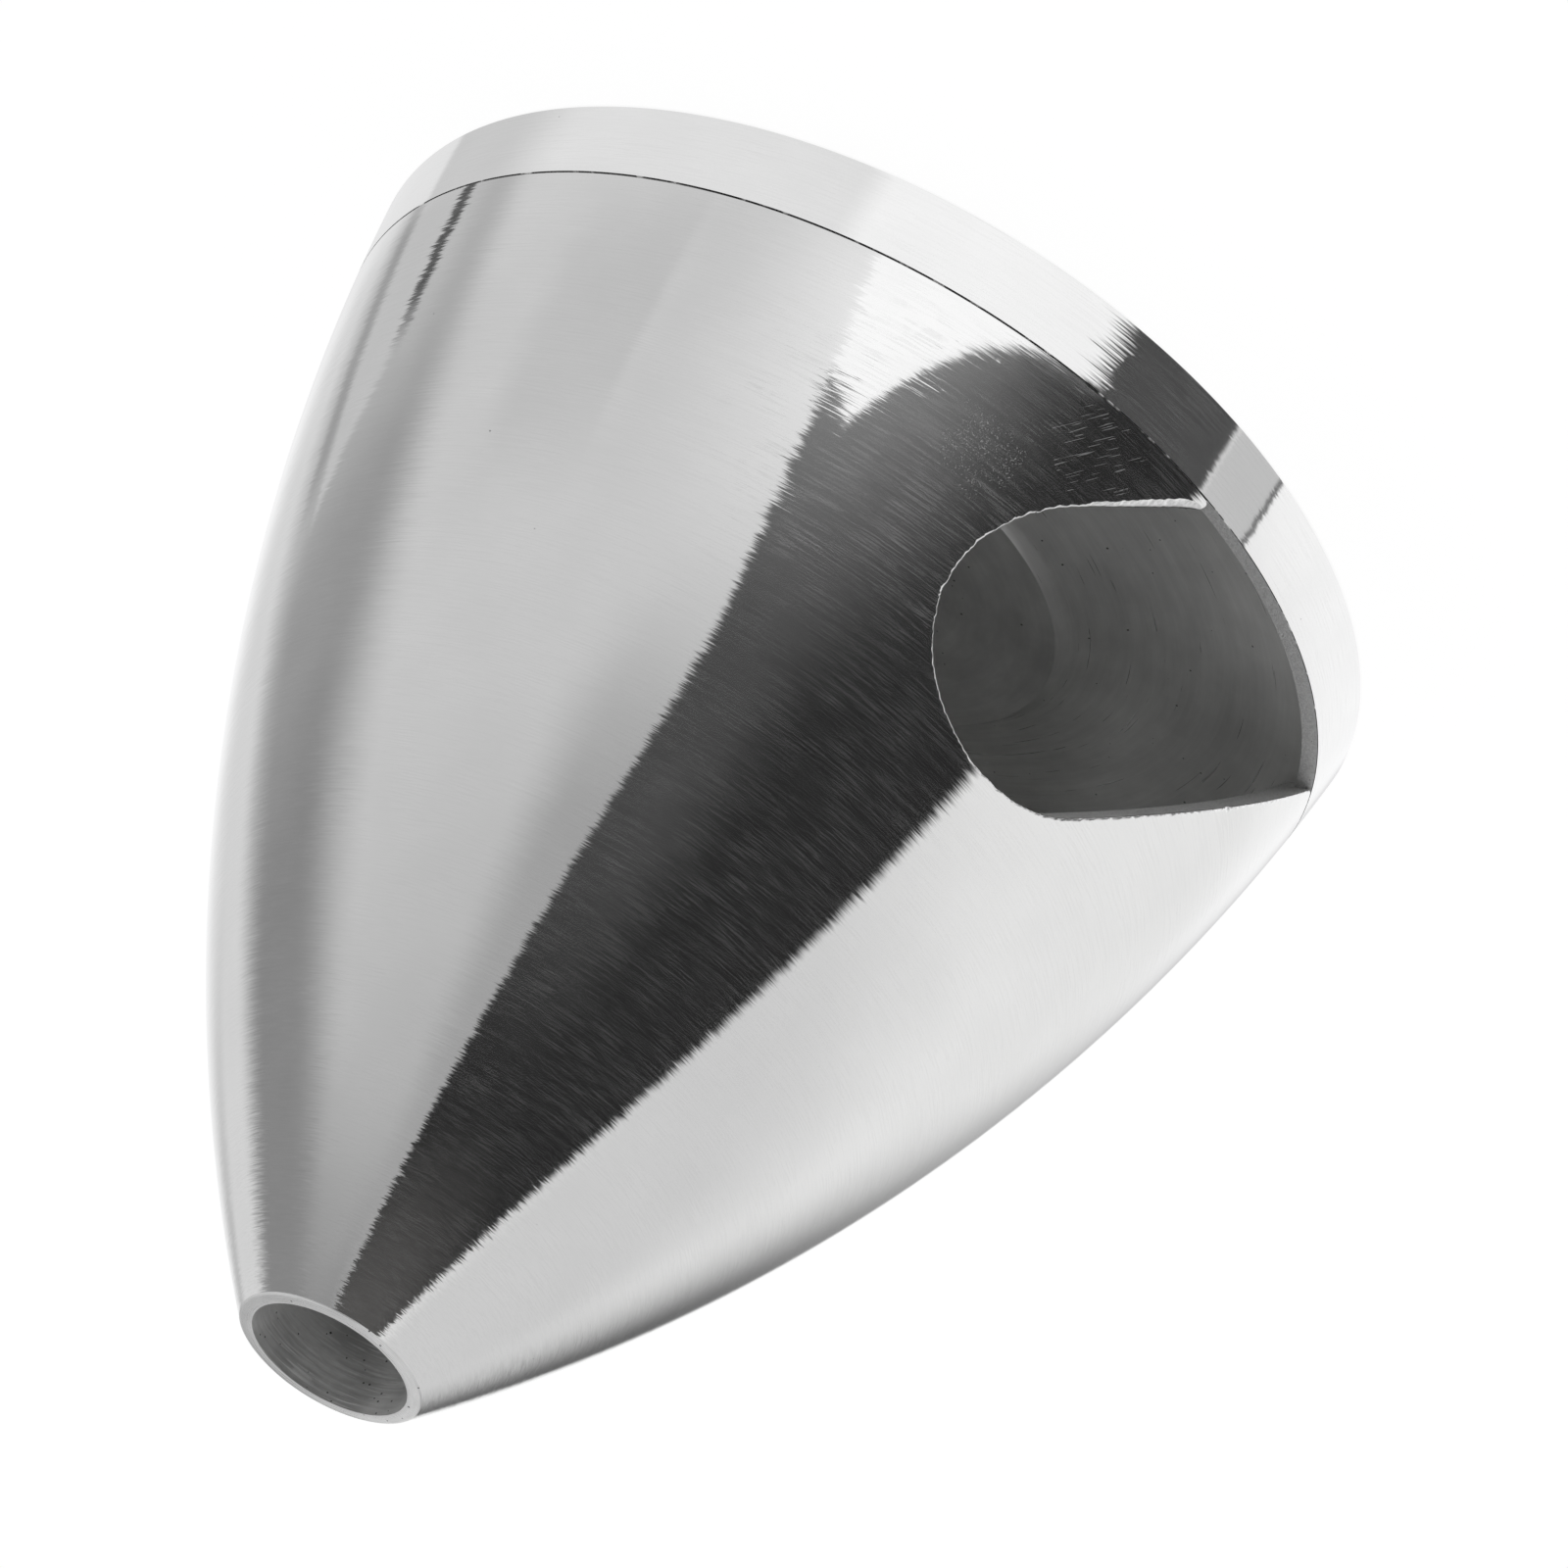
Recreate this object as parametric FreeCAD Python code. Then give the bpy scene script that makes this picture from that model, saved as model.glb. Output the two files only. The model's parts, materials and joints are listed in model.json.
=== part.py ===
import FreeCAD, Part
import math
import os

# Two-blade propeller spinner, turned from aluminium.
# +Z runs along the shaft axis towards the nose, and the origin is the centre of the back
# plate's flat rear face. The blade windows face -Y and +Y. All lengths are in millimetres,
# all angles in degrees, and a height is measured from the rear face unless it says otherwise.

# Outline: one arc, the flank, runs over the back plate and the cone up to the nose rim
rear_diameter = 57.0            # over the rear edge of the back plate
cone_length = 53.7              # from the seam to the nose rim
flank_radius = 110.1
nose_rim_wall = 0.68            # metal left round the nose bore at the rim
rim_edge_break = 0.1
seam_edge_break = 0.07          # on both sides of the seam, which shows as a hairline
rear_edge_break = 0.15

# Back plate: a boss and a ledge at the same height, with a turned channel between them
plate_floor = 2.2               # metal left under the deepest part of the channel
channel_dish = 1.0              # how far the channel sags below its outer wall
boss_diameter = 26.4
boss_chamfer = 0.45
ledge_width = 0.9               # flat ring that the cone's shoulder sits on
shaft_diameter = 8.0
shaft_clearance = 0.05          # radial, in the back plate's bore
shaft_bore_chamfer = 0.2

# Cone: a shell with a centring lip that drops inside the ledge
lip_wall = 0.65
lip_depth = 0.8
lip_side_clearance = 0.05       # radial
lip_end_clearance = 0.2
web_thickness = 3.5             # solid metal between the cavity and the head recess
cavity_corner_radius = 3.0

# Blade windows: slanted slots with one round end, open at the seam
blade_count = 2
window_width = 15.3
window_slant = 45.0             # of the slot's run away from the shaft axis
window_end_height = 10.44       # centre of the round end above the seam
window_end_offset = 8.51        # the same centre, sideways from the shaft axis
window_edge_break = 0.15
window_tip_radius = 0.4         # on the sharp corner that the slant leaves at the seam

# Cone bolt and washer, sunk in the nose
bolt_diameter = 4.0
bolt_hole_clearance = 0.25      # radial, in the web
head_diameter = 7.0
head_height = 4.0
head_chamfer = 0.3
head_sink = 6.0                 # from the nose rim down to the top of the head
socket_width = 3.0              # across flats
socket_depth = 2.0
washer_thickness = 0.5
washer_overhang = 0.5           # past the head, radial
washer_side_clearance = 0.3     # in the nose bore, radial
washer_bore_clearance = 0.15    # on the bolt, radial

# Shaft nut: screws on the crankshaft behind, takes the cone bolt in front
hub_space = 12.7                # propeller hub between the boss and the nut
shaft_thread_depth = 8.0
bolt_thread_depth = 7.0
nut_wall = 2.0                  # between the shaft thread and a flat
nut_corner_drop = 0.6           # how far the corners are turned down at each end
nut_turn = 52.3                 # direction that one flat faces, from +X
thread_engagement = 4.0         # of the bolt in the nut
thread_clearance = 0.02         # radial

# Worked out from the values above
spigot_depth = lip_depth + lip_end_clearance
plate_thickness = plate_floor + channel_dish + spigot_depth
seam_height = plate_thickness
total_length = seam_height + cone_length
rear_radius = rear_diameter / 2
boss_radius = boss_diameter / 2
shaft_bore_radius = shaft_diameter / 2 + shaft_clearance
washer_radius = head_diameter / 2 + washer_overhang
nose_bore_radius = washer_radius + washer_side_clearance
nose_rim_radius = nose_bore_radius + nose_rim_wall
recess_floor_height = total_length - head_sink - head_height - washer_thickness
head_seat_height = recess_floor_height + washer_thickness
cavity_top_height = recess_floor_height - web_thickness
cone_wall = ledge_width + lip_side_clearance + lip_wall
nut_rear_height = seam_height + hub_space
nut_length = shaft_thread_depth + bolt_thread_depth
nut_front_height = nut_rear_height + nut_length
bolt_tip_height = nut_front_height - thread_engagement
nut_across_flats = shaft_diameter + 2 * nut_wall

Z_AXIS = FreeCAD.Vector(0, 0, 1)
ORIGIN = FreeCAD.Vector(0, 0, 0)


def flank_centre():
    """Centre (radius, height) of the arc through the rear edge and the nose rim."""
    chord_r = nose_rim_radius - rear_radius
    chord = math.hypot(chord_r, total_length)
    reach = math.sqrt(flank_radius ** 2 - (chord / 2) ** 2)
    middle_r = (rear_radius + nose_rim_radius) / 2
    return (middle_r - reach * total_length / chord,
            total_length / 2 + reach * chord_r / chord)


def flank_r(height, inset=0.0):
    """Radius of the flank at a height, on an arc set in by the given distance."""
    centre_r, centre_height = flank_centre()
    return centre_r + math.sqrt((flank_radius - inset) ** 2 - (height - centre_height) ** 2)


def point(radius, height):
    return FreeCAD.Vector(radius, 0, height)


def line(start, end):
    return Part.LineSegment(point(*start), point(*end)).toShape()


def arc(start, through, end):
    return Part.Arc(point(*start), point(*through), point(*end)).toShape()


def flank_arc(start_height, end_height, inset=0.0):
    heights = (start_height, (start_height + end_height) / 2, end_height)
    return arc(*[(flank_r(height, inset), height) for height in heights])


def chain(points):
    """Straight edges through a list of (radius, height) points."""
    return [line(start, end) for start, end in zip(points, points[1:])]


def turned(edges):
    """Solid of revolution about the shaft axis from a closed outline."""
    face = Part.Face(Part.Wire(edges))
    return face.revolve(ORIGIN, Z_AXIS, 360)


def hexagon_bar(across_flats, bottom, height, turn=0.0):
    """Six-sided bar whose first flat faces the direction turn."""
    corner_r = across_flats / 2 / math.cos(math.radians(30))
    corners = []
    for side in range(7):
        angle = math.radians(turn + 30 + 60 * side)
        corners.append(FreeCAD.Vector(corner_r * math.cos(angle), corner_r * math.sin(angle), bottom))
    return Part.Face(Part.makePolygon(corners)).extrude(Z_AXIS * height)


def back_plate():
    recess_r = flank_r(seam_height) - ledge_width
    channel_inner = (boss_radius + boss_chamfer, seam_height - boss_chamfer)
    channel_outer = (recess_r, seam_height - spigot_depth)
    channel_middle = ((channel_inner[0] + channel_outer[0]) / 2, plate_floor)
    seam_r = flank_r(seam_height) - seam_edge_break
    rear_r = flank_r(rear_edge_break)
    edges = [flank_arc(rear_edge_break, seam_height - seam_edge_break)]
    edges += chain([(flank_r(seam_height - seam_edge_break), seam_height - seam_edge_break),
                    (seam_r, seam_height),
                    (recess_r, seam_height),
                    channel_outer])
    edges.append(arc(channel_outer, channel_middle, channel_inner))
    edges += chain([channel_inner,
                    (boss_radius, seam_height),
                    (shaft_bore_radius + shaft_bore_chamfer, seam_height),
                    (shaft_bore_radius, seam_height - shaft_bore_chamfer),
                    (shaft_bore_radius, shaft_bore_chamfer),
                    (shaft_bore_radius + shaft_bore_chamfer, 0),
                    (rear_r - rear_edge_break, 0),
                    (rear_r, rear_edge_break)])
    return turned(edges)


def cone_shell():
    lip_bottom = seam_height - lip_depth
    lip_r = flank_r(seam_height) - ledge_width - lip_side_clearance
    bolt_hole_r = bolt_diameter / 2 + bolt_hole_clearance
    edge_height = seam_height + seam_edge_break
    rim_start = total_length - rim_edge_break
    edges = [flank_arc(edge_height, rim_start)]
    edges += chain([(flank_r(rim_start), rim_start),
                    (nose_rim_radius - rim_edge_break, total_length),
                    (nose_bore_radius, total_length),
                    (nose_bore_radius, recess_floor_height),
                    (bolt_hole_r, recess_floor_height),
                    (bolt_hole_r, cavity_top_height),
                    (flank_r(cavity_top_height, cone_wall), cavity_top_height)])
    edges.append(flank_arc(cavity_top_height, lip_bottom, cone_wall))
    edges += chain([(flank_r(lip_bottom, cone_wall), lip_bottom),
                    (lip_r, lip_bottom),
                    (lip_r, seam_height),
                    (flank_r(seam_height) - seam_edge_break, seam_height),
                    (flank_r(edge_height), edge_height)])
    return turned(edges)


def window_tip_cutter(depth):
    """Prism that rounds off the sharp corner between a window's edge and the seam."""
    slant = math.radians(window_slant)
    across = FreeCAD.Vector(math.cos(slant), 0, -math.sin(slant))
    along = FreeCAD.Vector(math.sin(slant), 0, math.cos(slant))
    end_centre = FreeCAD.Vector(window_end_offset, 0, seam_height + window_end_height)
    edge_start = end_centre + across * (window_width / 2)
    tip = edge_start - along * ((edge_start.z - seam_height) / along.z)
    arc_height = window_tip_radius * 3 / 4      # so that the arc meets the seam at an angle
    run = (arc_height - window_tip_radius * across.z) / along.z
    on_edge = tip + along * run
    centre = on_edge + across * window_tip_radius
    bottom = centre - Z_AXIS * window_tip_radius
    swing = (math.radians(270) + math.radians(180) - slant) / 2
    through = centre + FreeCAD.Vector(math.cos(swing), 0, math.sin(swing)) * window_tip_radius
    floor_z = seam_height - 2 * lip_depth
    left_x = tip.x - window_width / 4
    corners = [on_edge, FreeCAD.Vector(left_x, 0, on_edge.z), FreeCAD.Vector(left_x, 0, floor_z),
               FreeCAD.Vector(bottom.x, 0, floor_z), bottom]
    edges = [Part.LineSegment(a, b).toShape() for a, b in zip(corners, corners[1:])]
    edges.append(Part.Arc(bottom, through, on_edge).toShape())
    return Part.Face(Part.Wire(edges)).extrude(FreeCAD.Vector(0, -depth, 0))


def window_cutter():
    """Slot tool for the window at -Y, reaching from the shaft axis past the outer surface."""
    depth = rear_radius + window_width
    run = (window_end_height + lip_depth + window_width) / math.cos(math.radians(window_slant))
    end_centre = FreeCAD.Vector(window_end_offset, 0, seam_height + window_end_height)
    round_end = Part.makeCylinder(window_width / 2, depth, end_centre, FreeCAD.Vector(0, -1, 0))
    straight = Part.makeBox(window_width, depth, run,
                            FreeCAD.Vector(-window_width / 2, -depth, -run))
    straight.rotate(ORIGIN, FreeCAD.Vector(0, 1, 0), window_slant)
    straight.translate(end_centre)
    return round_end.fuse([straight, window_tip_cutter(depth)])


def on_flank(where):
    return abs(math.hypot(where.x, where.y) - flank_r(where.z)) < seam_edge_break / 4


def is_window_edge(edge):
    """True for an edge where a window meets the outside of the cone."""
    ends = [vertex.Point for vertex in edge.Vertexes]
    middle = edge.valueAt((edge.FirstParameter + edge.LastParameter) / 2)
    level = max(abs(end.z - middle.z) for end in ends) < seam_edge_break / 4
    return on_flank(middle) and all(on_flank(end) for end in ends) and not level


def is_cavity_corner(edge):
    """True for the circle where the cavity's side meets its flat top."""
    radius = flank_r(cavity_top_height, cone_wall)
    return all(abs(vertex.Z - cavity_top_height) < seam_edge_break
               and abs(math.hypot(vertex.X, vertex.Y) - radius) < seam_edge_break
               for vertex in edge.Vertexes)


def nose_cone():
    shell = cone_shell()
    shell = shell.makeFillet(cavity_corner_radius,
                             [edge for edge in shell.Edges if is_cavity_corner(edge)])
    cutter = window_cutter()
    for blade in range(blade_count):
        tool = cutter.copy()
        tool.rotate(ORIGIN, Z_AXIS, 360 / blade_count * blade)
        shell = shell.cut(tool)
    return shell.makeFillet(window_edge_break,
                            [edge for edge in shell.Edges if is_window_edge(edge)])


def cone_bolt():
    head_r = head_diameter / 2
    head_top = head_seat_height + head_height
    shank_r = bolt_diameter / 2
    blank = turned(chain([(0, bolt_tip_height),
                          (shank_r - head_chamfer, bolt_tip_height),
                          (shank_r, bolt_tip_height + head_chamfer),
                          (shank_r, head_seat_height),
                          (head_r, head_seat_height),
                          (head_r, head_top - head_chamfer),
                          (head_r - head_chamfer, head_top),
                          (0, head_top),
                          (0, bolt_tip_height)]))
    return blank.cut(hexagon_bar(socket_width, head_top - socket_depth, socket_depth * 2))


def bolt_washer():
    bore_r = bolt_diameter / 2 + washer_bore_clearance
    return turned(chain([(bore_r, recess_floor_height),
                         (washer_radius, recess_floor_height),
                         (washer_radius, head_seat_height),
                         (bore_r, head_seat_height),
                         (bore_r, recess_floor_height)]))


def shaft_nut():
    flat_r = nut_across_flats / 2
    corner_r = flat_r / math.cos(math.radians(30))
    thread_r = shaft_diameter / 2
    bolt_thread_r = bolt_diameter / 2 + thread_clearance
    step_height = nut_rear_height + shaft_thread_depth
    envelope = turned(chain([(thread_r, nut_rear_height),
                             (flat_r, nut_rear_height),
                             (corner_r, nut_rear_height + nut_corner_drop),
                             (corner_r, nut_front_height - nut_corner_drop),
                             (flat_r, nut_front_height),
                             (bolt_thread_r, nut_front_height),
                             (bolt_thread_r, step_height),
                             (thread_r, step_height),
                             (thread_r, nut_rear_height)]))
    return envelope.common(hexagon_bar(nut_across_flats, nut_rear_height, nut_length, nut_turn))


PIECES = {
    "back_plate": back_plate,
    "nose_cone": nose_cone,
    "cone_bolt": cone_bolt,
    "bolt_washer": bolt_washer,
    "shaft_nut": shaft_nut,
}

os.makedirs("parts", exist_ok=True)
for name, build in PIECES.items():
    shape = build()
    solid = shape.Solids[0]
    if len(shape.Solids) != 1 or not solid.isValid():
        raise ValueError("not one good solid: " + name)
    solid.exportStep("parts/" + name + ".step")
    print(name, round(solid.Volume, 2))
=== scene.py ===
"""Looks of a two-blade propeller spinner, turned from aluminium and polished along its turning marks.

The nose points up the Z axis, the blade windows face -Y and +Y, and lengths are in metres.
"""
import json
import math

import bmesh
import bpy
from bpy.props import FloatProperty, FloatVectorProperty, IntProperty, PointerProperty
from mathutils import Matrix, Vector, noise


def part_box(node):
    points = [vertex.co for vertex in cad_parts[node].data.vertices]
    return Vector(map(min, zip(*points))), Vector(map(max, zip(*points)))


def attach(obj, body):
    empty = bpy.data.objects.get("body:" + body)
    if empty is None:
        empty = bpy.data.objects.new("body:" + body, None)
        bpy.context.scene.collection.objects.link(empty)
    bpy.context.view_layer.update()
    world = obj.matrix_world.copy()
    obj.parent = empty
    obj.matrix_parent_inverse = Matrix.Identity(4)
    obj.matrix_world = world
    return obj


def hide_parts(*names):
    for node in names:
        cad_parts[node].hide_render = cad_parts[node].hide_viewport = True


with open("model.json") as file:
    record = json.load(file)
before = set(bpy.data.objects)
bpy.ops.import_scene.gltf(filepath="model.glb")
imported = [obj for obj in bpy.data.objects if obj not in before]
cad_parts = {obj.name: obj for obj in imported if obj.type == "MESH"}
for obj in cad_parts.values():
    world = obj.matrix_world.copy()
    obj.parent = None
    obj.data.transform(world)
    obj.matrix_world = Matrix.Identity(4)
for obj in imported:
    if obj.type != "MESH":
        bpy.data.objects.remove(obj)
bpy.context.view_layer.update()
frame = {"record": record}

bl_info = {
    "name": "Propeller Spinner",
    "version": (1, 0, 0),
    "blender": (4, 5, 0),
    "location": "3D View > Sidebar > Spinner",
    "description": "Builds a turned and polished two-blade propeller spinner with its bolt and nut",
    "category": "Object",
}

MM = 0.001
FULL_TURN = 2 * math.pi
Z_AXIS = Vector((0, 0, 1))
SECTORS = 16                    # a turned piece is made as one sector, copied round the axis
MERGE_DISTANCE = 0.0001 * MM
TOUCH = 0.001 * MM              # points nearer than this to a radius lie on it
SHARP_ANGLE = 30.0              # degrees between two faces, from which their edge is sharp
EDGE_SPACING = 0.1 * MM         # between two points round a window
EDGE_SWINGS = (0, 20, 40, 60, 76)   # rows round the filed edge of a window, in degrees
CUTTER_RISE = 0.03 * MM         # how far above the flank that edge is led on in the cutting tool
CUTTER_DROP = 1.0 * MM          # how far below the cone a window's cutting tool reaches

# Rows of faces along the outlines of the turned pieces
FLANK_ROWS = 110
CAVITY_ROWS = 40
CORNER_ROWS = 10
CHANNEL_ROWS = 48
BAND_ROWS = 12
BOSS_ROWS = 4
BORE_ROWS = 16
ROWS_PER_GROOVE = 6
ROWS_PER_THREAD = 8
ROWS_PER_NUT_THREAD = 10
ROUND_STEPS = 96                # faces round the washer and the nut

# Heights and radii that the solids settle
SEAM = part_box("back_plate")[1].z
CONE_LOW, CONE_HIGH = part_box("nose_cone")
BOLT_LOW, BOLT_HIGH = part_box("cone_bolt")
WASHER_LOW, WASHER_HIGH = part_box("bolt_washer")
NUT_LOW, NUT_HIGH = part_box("shaft_nut")
NOSE = CONE_HIGH.z
MOUNTS = {mount["name"]: mount["dims"] for mount in frame["record"]["mounts"]}
SHAFT_BORE_RADIUS = MOUNTS["shaft_bore"]["r_mm"] * MM
SHAFT_THREAD_RADIUS = MOUNTS["shaft_thread"]["r_mm"] * MM
SHAFT_THREAD_DEPTH = MOUNTS["shaft_thread"]["length_mm"] * MM

# Places of the finishes in the material list of a turned piece
POLISHED, SEAM_EDGE, RING, BORE, INSIDE, CUT, EDGE, LEDGE, BOSS = range(9)

# Shifts that make one pattern differ from another at the same place
ACROSS_SHIFT = (11.3, 4.7, 31.9)
HAIRLINE_SHIFT = (3.1, 8.2, 5.4)
BREAK_SHIFT = (7.1, 3.3, 5.9)
PATCH_SHIFT = (1.7, 9.4, 2.6)
NICK_SHIFT = Vector((5, 9, 2))


def length(name, description, default):
    """A size in metres that shows with its unit."""
    return FloatProperty(name=name, description=description, default=default,
                         min=0.0, unit="LENGTH", precision=5)


def share(name, description, default):
    """A plain number from nought up."""
    return FloatProperty(name=name, description=description, default=default,
                         min=0.0, soft_max=1.0, subtype="FACTOR", precision=3)


def turn(name, description, default):
    """An angle, given in degrees and kept in radians."""
    return FloatProperty(name=name, description=description, default=math.radians(default),
                         subtype="ANGLE", unit="ROTATION")


def colour(name, description, default):
    return FloatVectorProperty(name=name, description=description, default=default,
                               size=3, min=0.0, max=1.0, subtype="COLOR")


class SpinnerOutline(bpy.types.PropertyGroup):
    """Sizes of the outline and of the turned pieces"""
    rear_diameter: length("Rear diameter", "Over the rear edge of the back plate", 57.0 * MM)
    flank_radius: length("Flank radius", "Of the one arc from the rear edge to the nose rim", 110.1 * MM)
    rim_wall: length("Nose rim wall", "Metal left round the nose bore at the rim", 0.68 * MM)
    bore_clearance: length("Nose bore clearance", "Round the washer, radial", 0.3 * MM)
    rim_break: length("Rim edge break", "Width of the broken edge at the nose", 0.1 * MM)
    seam_break: length("Seam edge break", "Width of the cone's broken edge at the seam", 0.08 * MM)
    plate_break: length("Plate edge break", "Width of the plate's broken edge at the seam", 0.03 * MM)
    groove_depth: length("Bore groove depth", "Of the tool grooves in the nose bore's mouth", 0.012 * MM)
    groove_pitch: length("Bore groove pitch", "Distance between two of the tool grooves", 0.42 * MM)
    groove_run: length("Bore groove run", "How far down the bore the grooves reach", 3.4 * MM)
    rear_break: length("Rear edge break", "Width of the broken rear edge", 0.15 * MM)
    wall: length("Cone wall", "Thickness of the cone's shell", 1.6 * MM)
    web: length("Web", "Solid metal under the nose bore", 3.5 * MM)
    corner_radius: length("Cavity corner", "Radius between the cavity's side and its top", 3.0 * MM)
    ledge: length("Ledge", "Width of the ring that the cone sits on", 0.9 * MM)
    lip_clearance: length("Lip clearance", "Between the cone's lip and the ledge", 0.05 * MM)
    recess_depth: length("Recess", "From the seam down to the channel's outer edge", 1.0 * MM)
    plate_floor: length("Plate floor", "Metal under the deepest part of the channel", 2.2 * MM)
    boss_diameter: length("Boss diameter", "Of the raised flat that the propeller sits on", 26.4 * MM)
    boss_break: length("Boss edge break", "Width of the boss's broken edge", 0.45 * MM)
    bore_break: length("Shaft bore edge break", "Width of the shaft bore's broken edges", 0.2 * MM)
    band_lean: turn("Band lean", "How far the plate's polished rim leans down from the cone's arc", 2.5)
    steps: IntProperty(name="Steps", description="Faces round a turned piece", default=256, min=32, max=512)


class SpinnerWindows(bpy.types.PropertyGroup):
    """Sizes of the blade windows and of their filed edges"""
    count: IntProperty(name="Windows", description="One for each blade", default=2, min=1, max=4)
    width: length("Width", "Of the slot", 15.3 * MM)
    slant: turn("Slant", "Of the slot's run away from the shaft axis", 45.0)
    end_height: length("End height", "Centre of the round end above the seam", 10.44 * MM)
    end_offset: length("End offset", "The same centre, sideways from the shaft axis", 8.51 * MM)
    tip_radius: length("Tip radius", "On the sharp corner at the seam", 0.4 * MM)
    edge_radius: length("Edge radius", "Of the filed edge round most of the window", 0.15 * MM)
    tip_edge_radius: length("Tip edge radius", "Of the filed edge near the sharp corner", 0.75 * MM)
    burr: length("Burr", "How far the edge wanders from its line", 0.08 * MM)
    burr_size: length("Burr size", "Length of one burr along the edge", 0.35 * MM)
    nick: length("Nick", "Depth of the deepest nicks", 0.3 * MM)
    nick_size: length("Nick size", "Distance between two nicks", 1.1 * MM)


class SpinnerFasteners(bpy.types.PropertyGroup):
    """Sizes of the bolt, the washer and the nut"""
    bolt_diameter: length("Bolt diameter", "Over the thread", 4.0 * MM)
    bolt_pitch: length("Bolt pitch", "Of the bolt's thread", 0.7 * MM)
    bolt_thread: length("Bolt thread", "Length of thread from the bolt's tip", 12.0 * MM)
    thread_depth: share("Thread depth", "Depth of a thread, as a share of its pitch", 0.61)
    hole_clearance: length("Bolt hole clearance", "Round the bolt in the web, radial", 0.25 * MM)
    head_break: length("Head edge break", "Width of the bolt's broken edges", 0.3 * MM)
    socket_width: length("Socket width", "Across the hexagon's flats", 3.0 * MM)
    socket_depth: length("Socket depth", "Of the hexagon", 2.0 * MM)
    socket_break: length("Socket edge break", "Width of the broken edge round the hexagon", 0.15 * MM)
    knurls: IntProperty(name="Knurls", description="Ridges round the bolt's head", default=36, min=12)
    knurl_depth: length("Knurl depth", "Of the grooves between the ridges", 0.14 * MM)
    washer_clearance: length("Washer clearance", "Round the bolt, radial", 0.15 * MM)
    washer_break: length("Washer edge break", "Width of the washer's rounded edges", 0.12 * MM)
    nut_flats: length("Nut flats", "Width across the nut's flats", 12.0 * MM)
    nut_drop: length("Nut corner drop", "How far the nut's corners are turned down", 0.6 * MM)
    nut_turn: turn("Nut turn", "Direction that one flat faces, from +X", 52.3)
    nut_pitch: length("Nut pitch", "Of the shaft thread", 1.25 * MM)
    nut_corner: length("Nut corner break", "Width of the nut's broken corners", 0.15 * MM)
    thread_clearance: length("Thread clearance", "Between the bolt and the nut, radial", 0.02 * MM)


class SpinnerFinish(bpy.types.PropertyGroup):
    """Colours and surface marks"""
    polished: colour("Polished aluminium", "Colour of the polished flank", (0.905, 0.905, 0.9))
    turned: colour("Turned aluminium", "Colour of the faces left as turned", (0.93, 0.93, 0.92))
    bored: colour("Bored aluminium", "Colour of the bores", (0.94, 0.94, 0.93))
    milled: colour("Milled aluminium", "Colour of the windows' cut faces", (0.85, 0.85, 0.84))
    matte: share("Matte share", "How matte the faces left as turned are", 0.32)
    # This dark colour is dirt in the pits and darker marks, and also the painted shade in the seam between
    # cone and plate
    grime_and_seam_shade: colour("Grime", "Colour of the dirt in the seam and pits", (0.03, 0.03, 0.03))
    bolt_steel: colour("Bolt steel", "Colour of the oiled black bolt", (0.09, 0.09, 0.095))
    washer_steel: colour("Washer steel", "Colour of the plated washer", (0.66, 0.66, 0.65))
    nut_steel: colour("Nut steel", "Colour of the turned nut", (0.56, 0.56, 0.55))
    rust: colour("Tarnish", "Colour of the stains on the steel", (0.16, 0.13, 0.11))
    line_width: length("Mark width", "Of the fine marks that run round the flank", 0.075 * MM)
    line_tilt: share("Mark tilt", "How strongly the fine marks break up a reflection sideways", 0.06)
    line_lift: share("Mark lift", "How strongly the fine marks break up a reflection up and down", 0.018)
    tooth_width: length("Coarse mark width", "Of the coarser marks", 0.16 * MM)
    tooth_tilt: share("Coarse mark tilt", "How strongly the coarser marks break up a reflection", 0.03)
    streak_width: length("Streak width", "Of the matte streaks round the flank", 0.1 * MM)
    streak_haze: share("Streak haze", "How much light the matte streaks scatter", 0.16)
    streak_tilt: share("Streak tilt", "How strongly the matte streaks break up a reflection", 0.15)
    worn_azimuth: turn("Worn azimuth", "Middle of the patch with the strongest streaks, from +X", -39)
    worn_height: length("Worn height", "Middle of the patch with the strongest streaks", 13.5 * MM)
    worn_spread: length("Worn spread", "Radius of the patch with the strongest streaks", 8.0 * MM)
    scratch_haze: share("Scratch haze", "How much light the scratches scatter", 0.35)
    scratch_tilt: share("Scratch tilt", "How strongly the scratches break up a reflection", 0.12)
    scratch_azimuth: turn("Scratch azimuth", "Middle of the straight scratches, from +X", -57)
    scratch_height: length("Scratch height", "Middle of the straight scratches", 6.6 * MM)
    scratch_angle: turn("Scratch angle", "Of the straight scratches with the turning marks", 52)
    scratch_spread: length("Scratch spread", "Radius of the patch of straight scratches", 2.4 * MM)
    rub_azimuth: turn("Rub azimuth", "Middle of the rubbed patch, from +X", -46.5)
    rub_height: length("Rub height", "Middle of the rubbed patch", 10.4 * MM)
    rub_spread: length("Rub spread", "Radius of the rubbed patch", 2.2 * MM)
    scuff_azimuth: turn("Scuff azimuth", "Middle of the coarsely polished patch, from +X", -48)
    scuff_height: length("Scuff height", "Middle of the coarsely polished patch", 2.0 * MM)
    scuff_spread: length("Scuff spread", "Radius of the coarsely polished patch", 3.8 * MM)
    scuff_tilt: share("Scuff tilt", "How strongly the marks there break up a reflection", 0.2)
    nose_start: length("Nose polish start", "Height above which the marks get coarser", 48.0 * MM)
    nose_tilt: share("Nose tilt", "How strongly the marks at the nose break up a reflection", 0.16)


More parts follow.
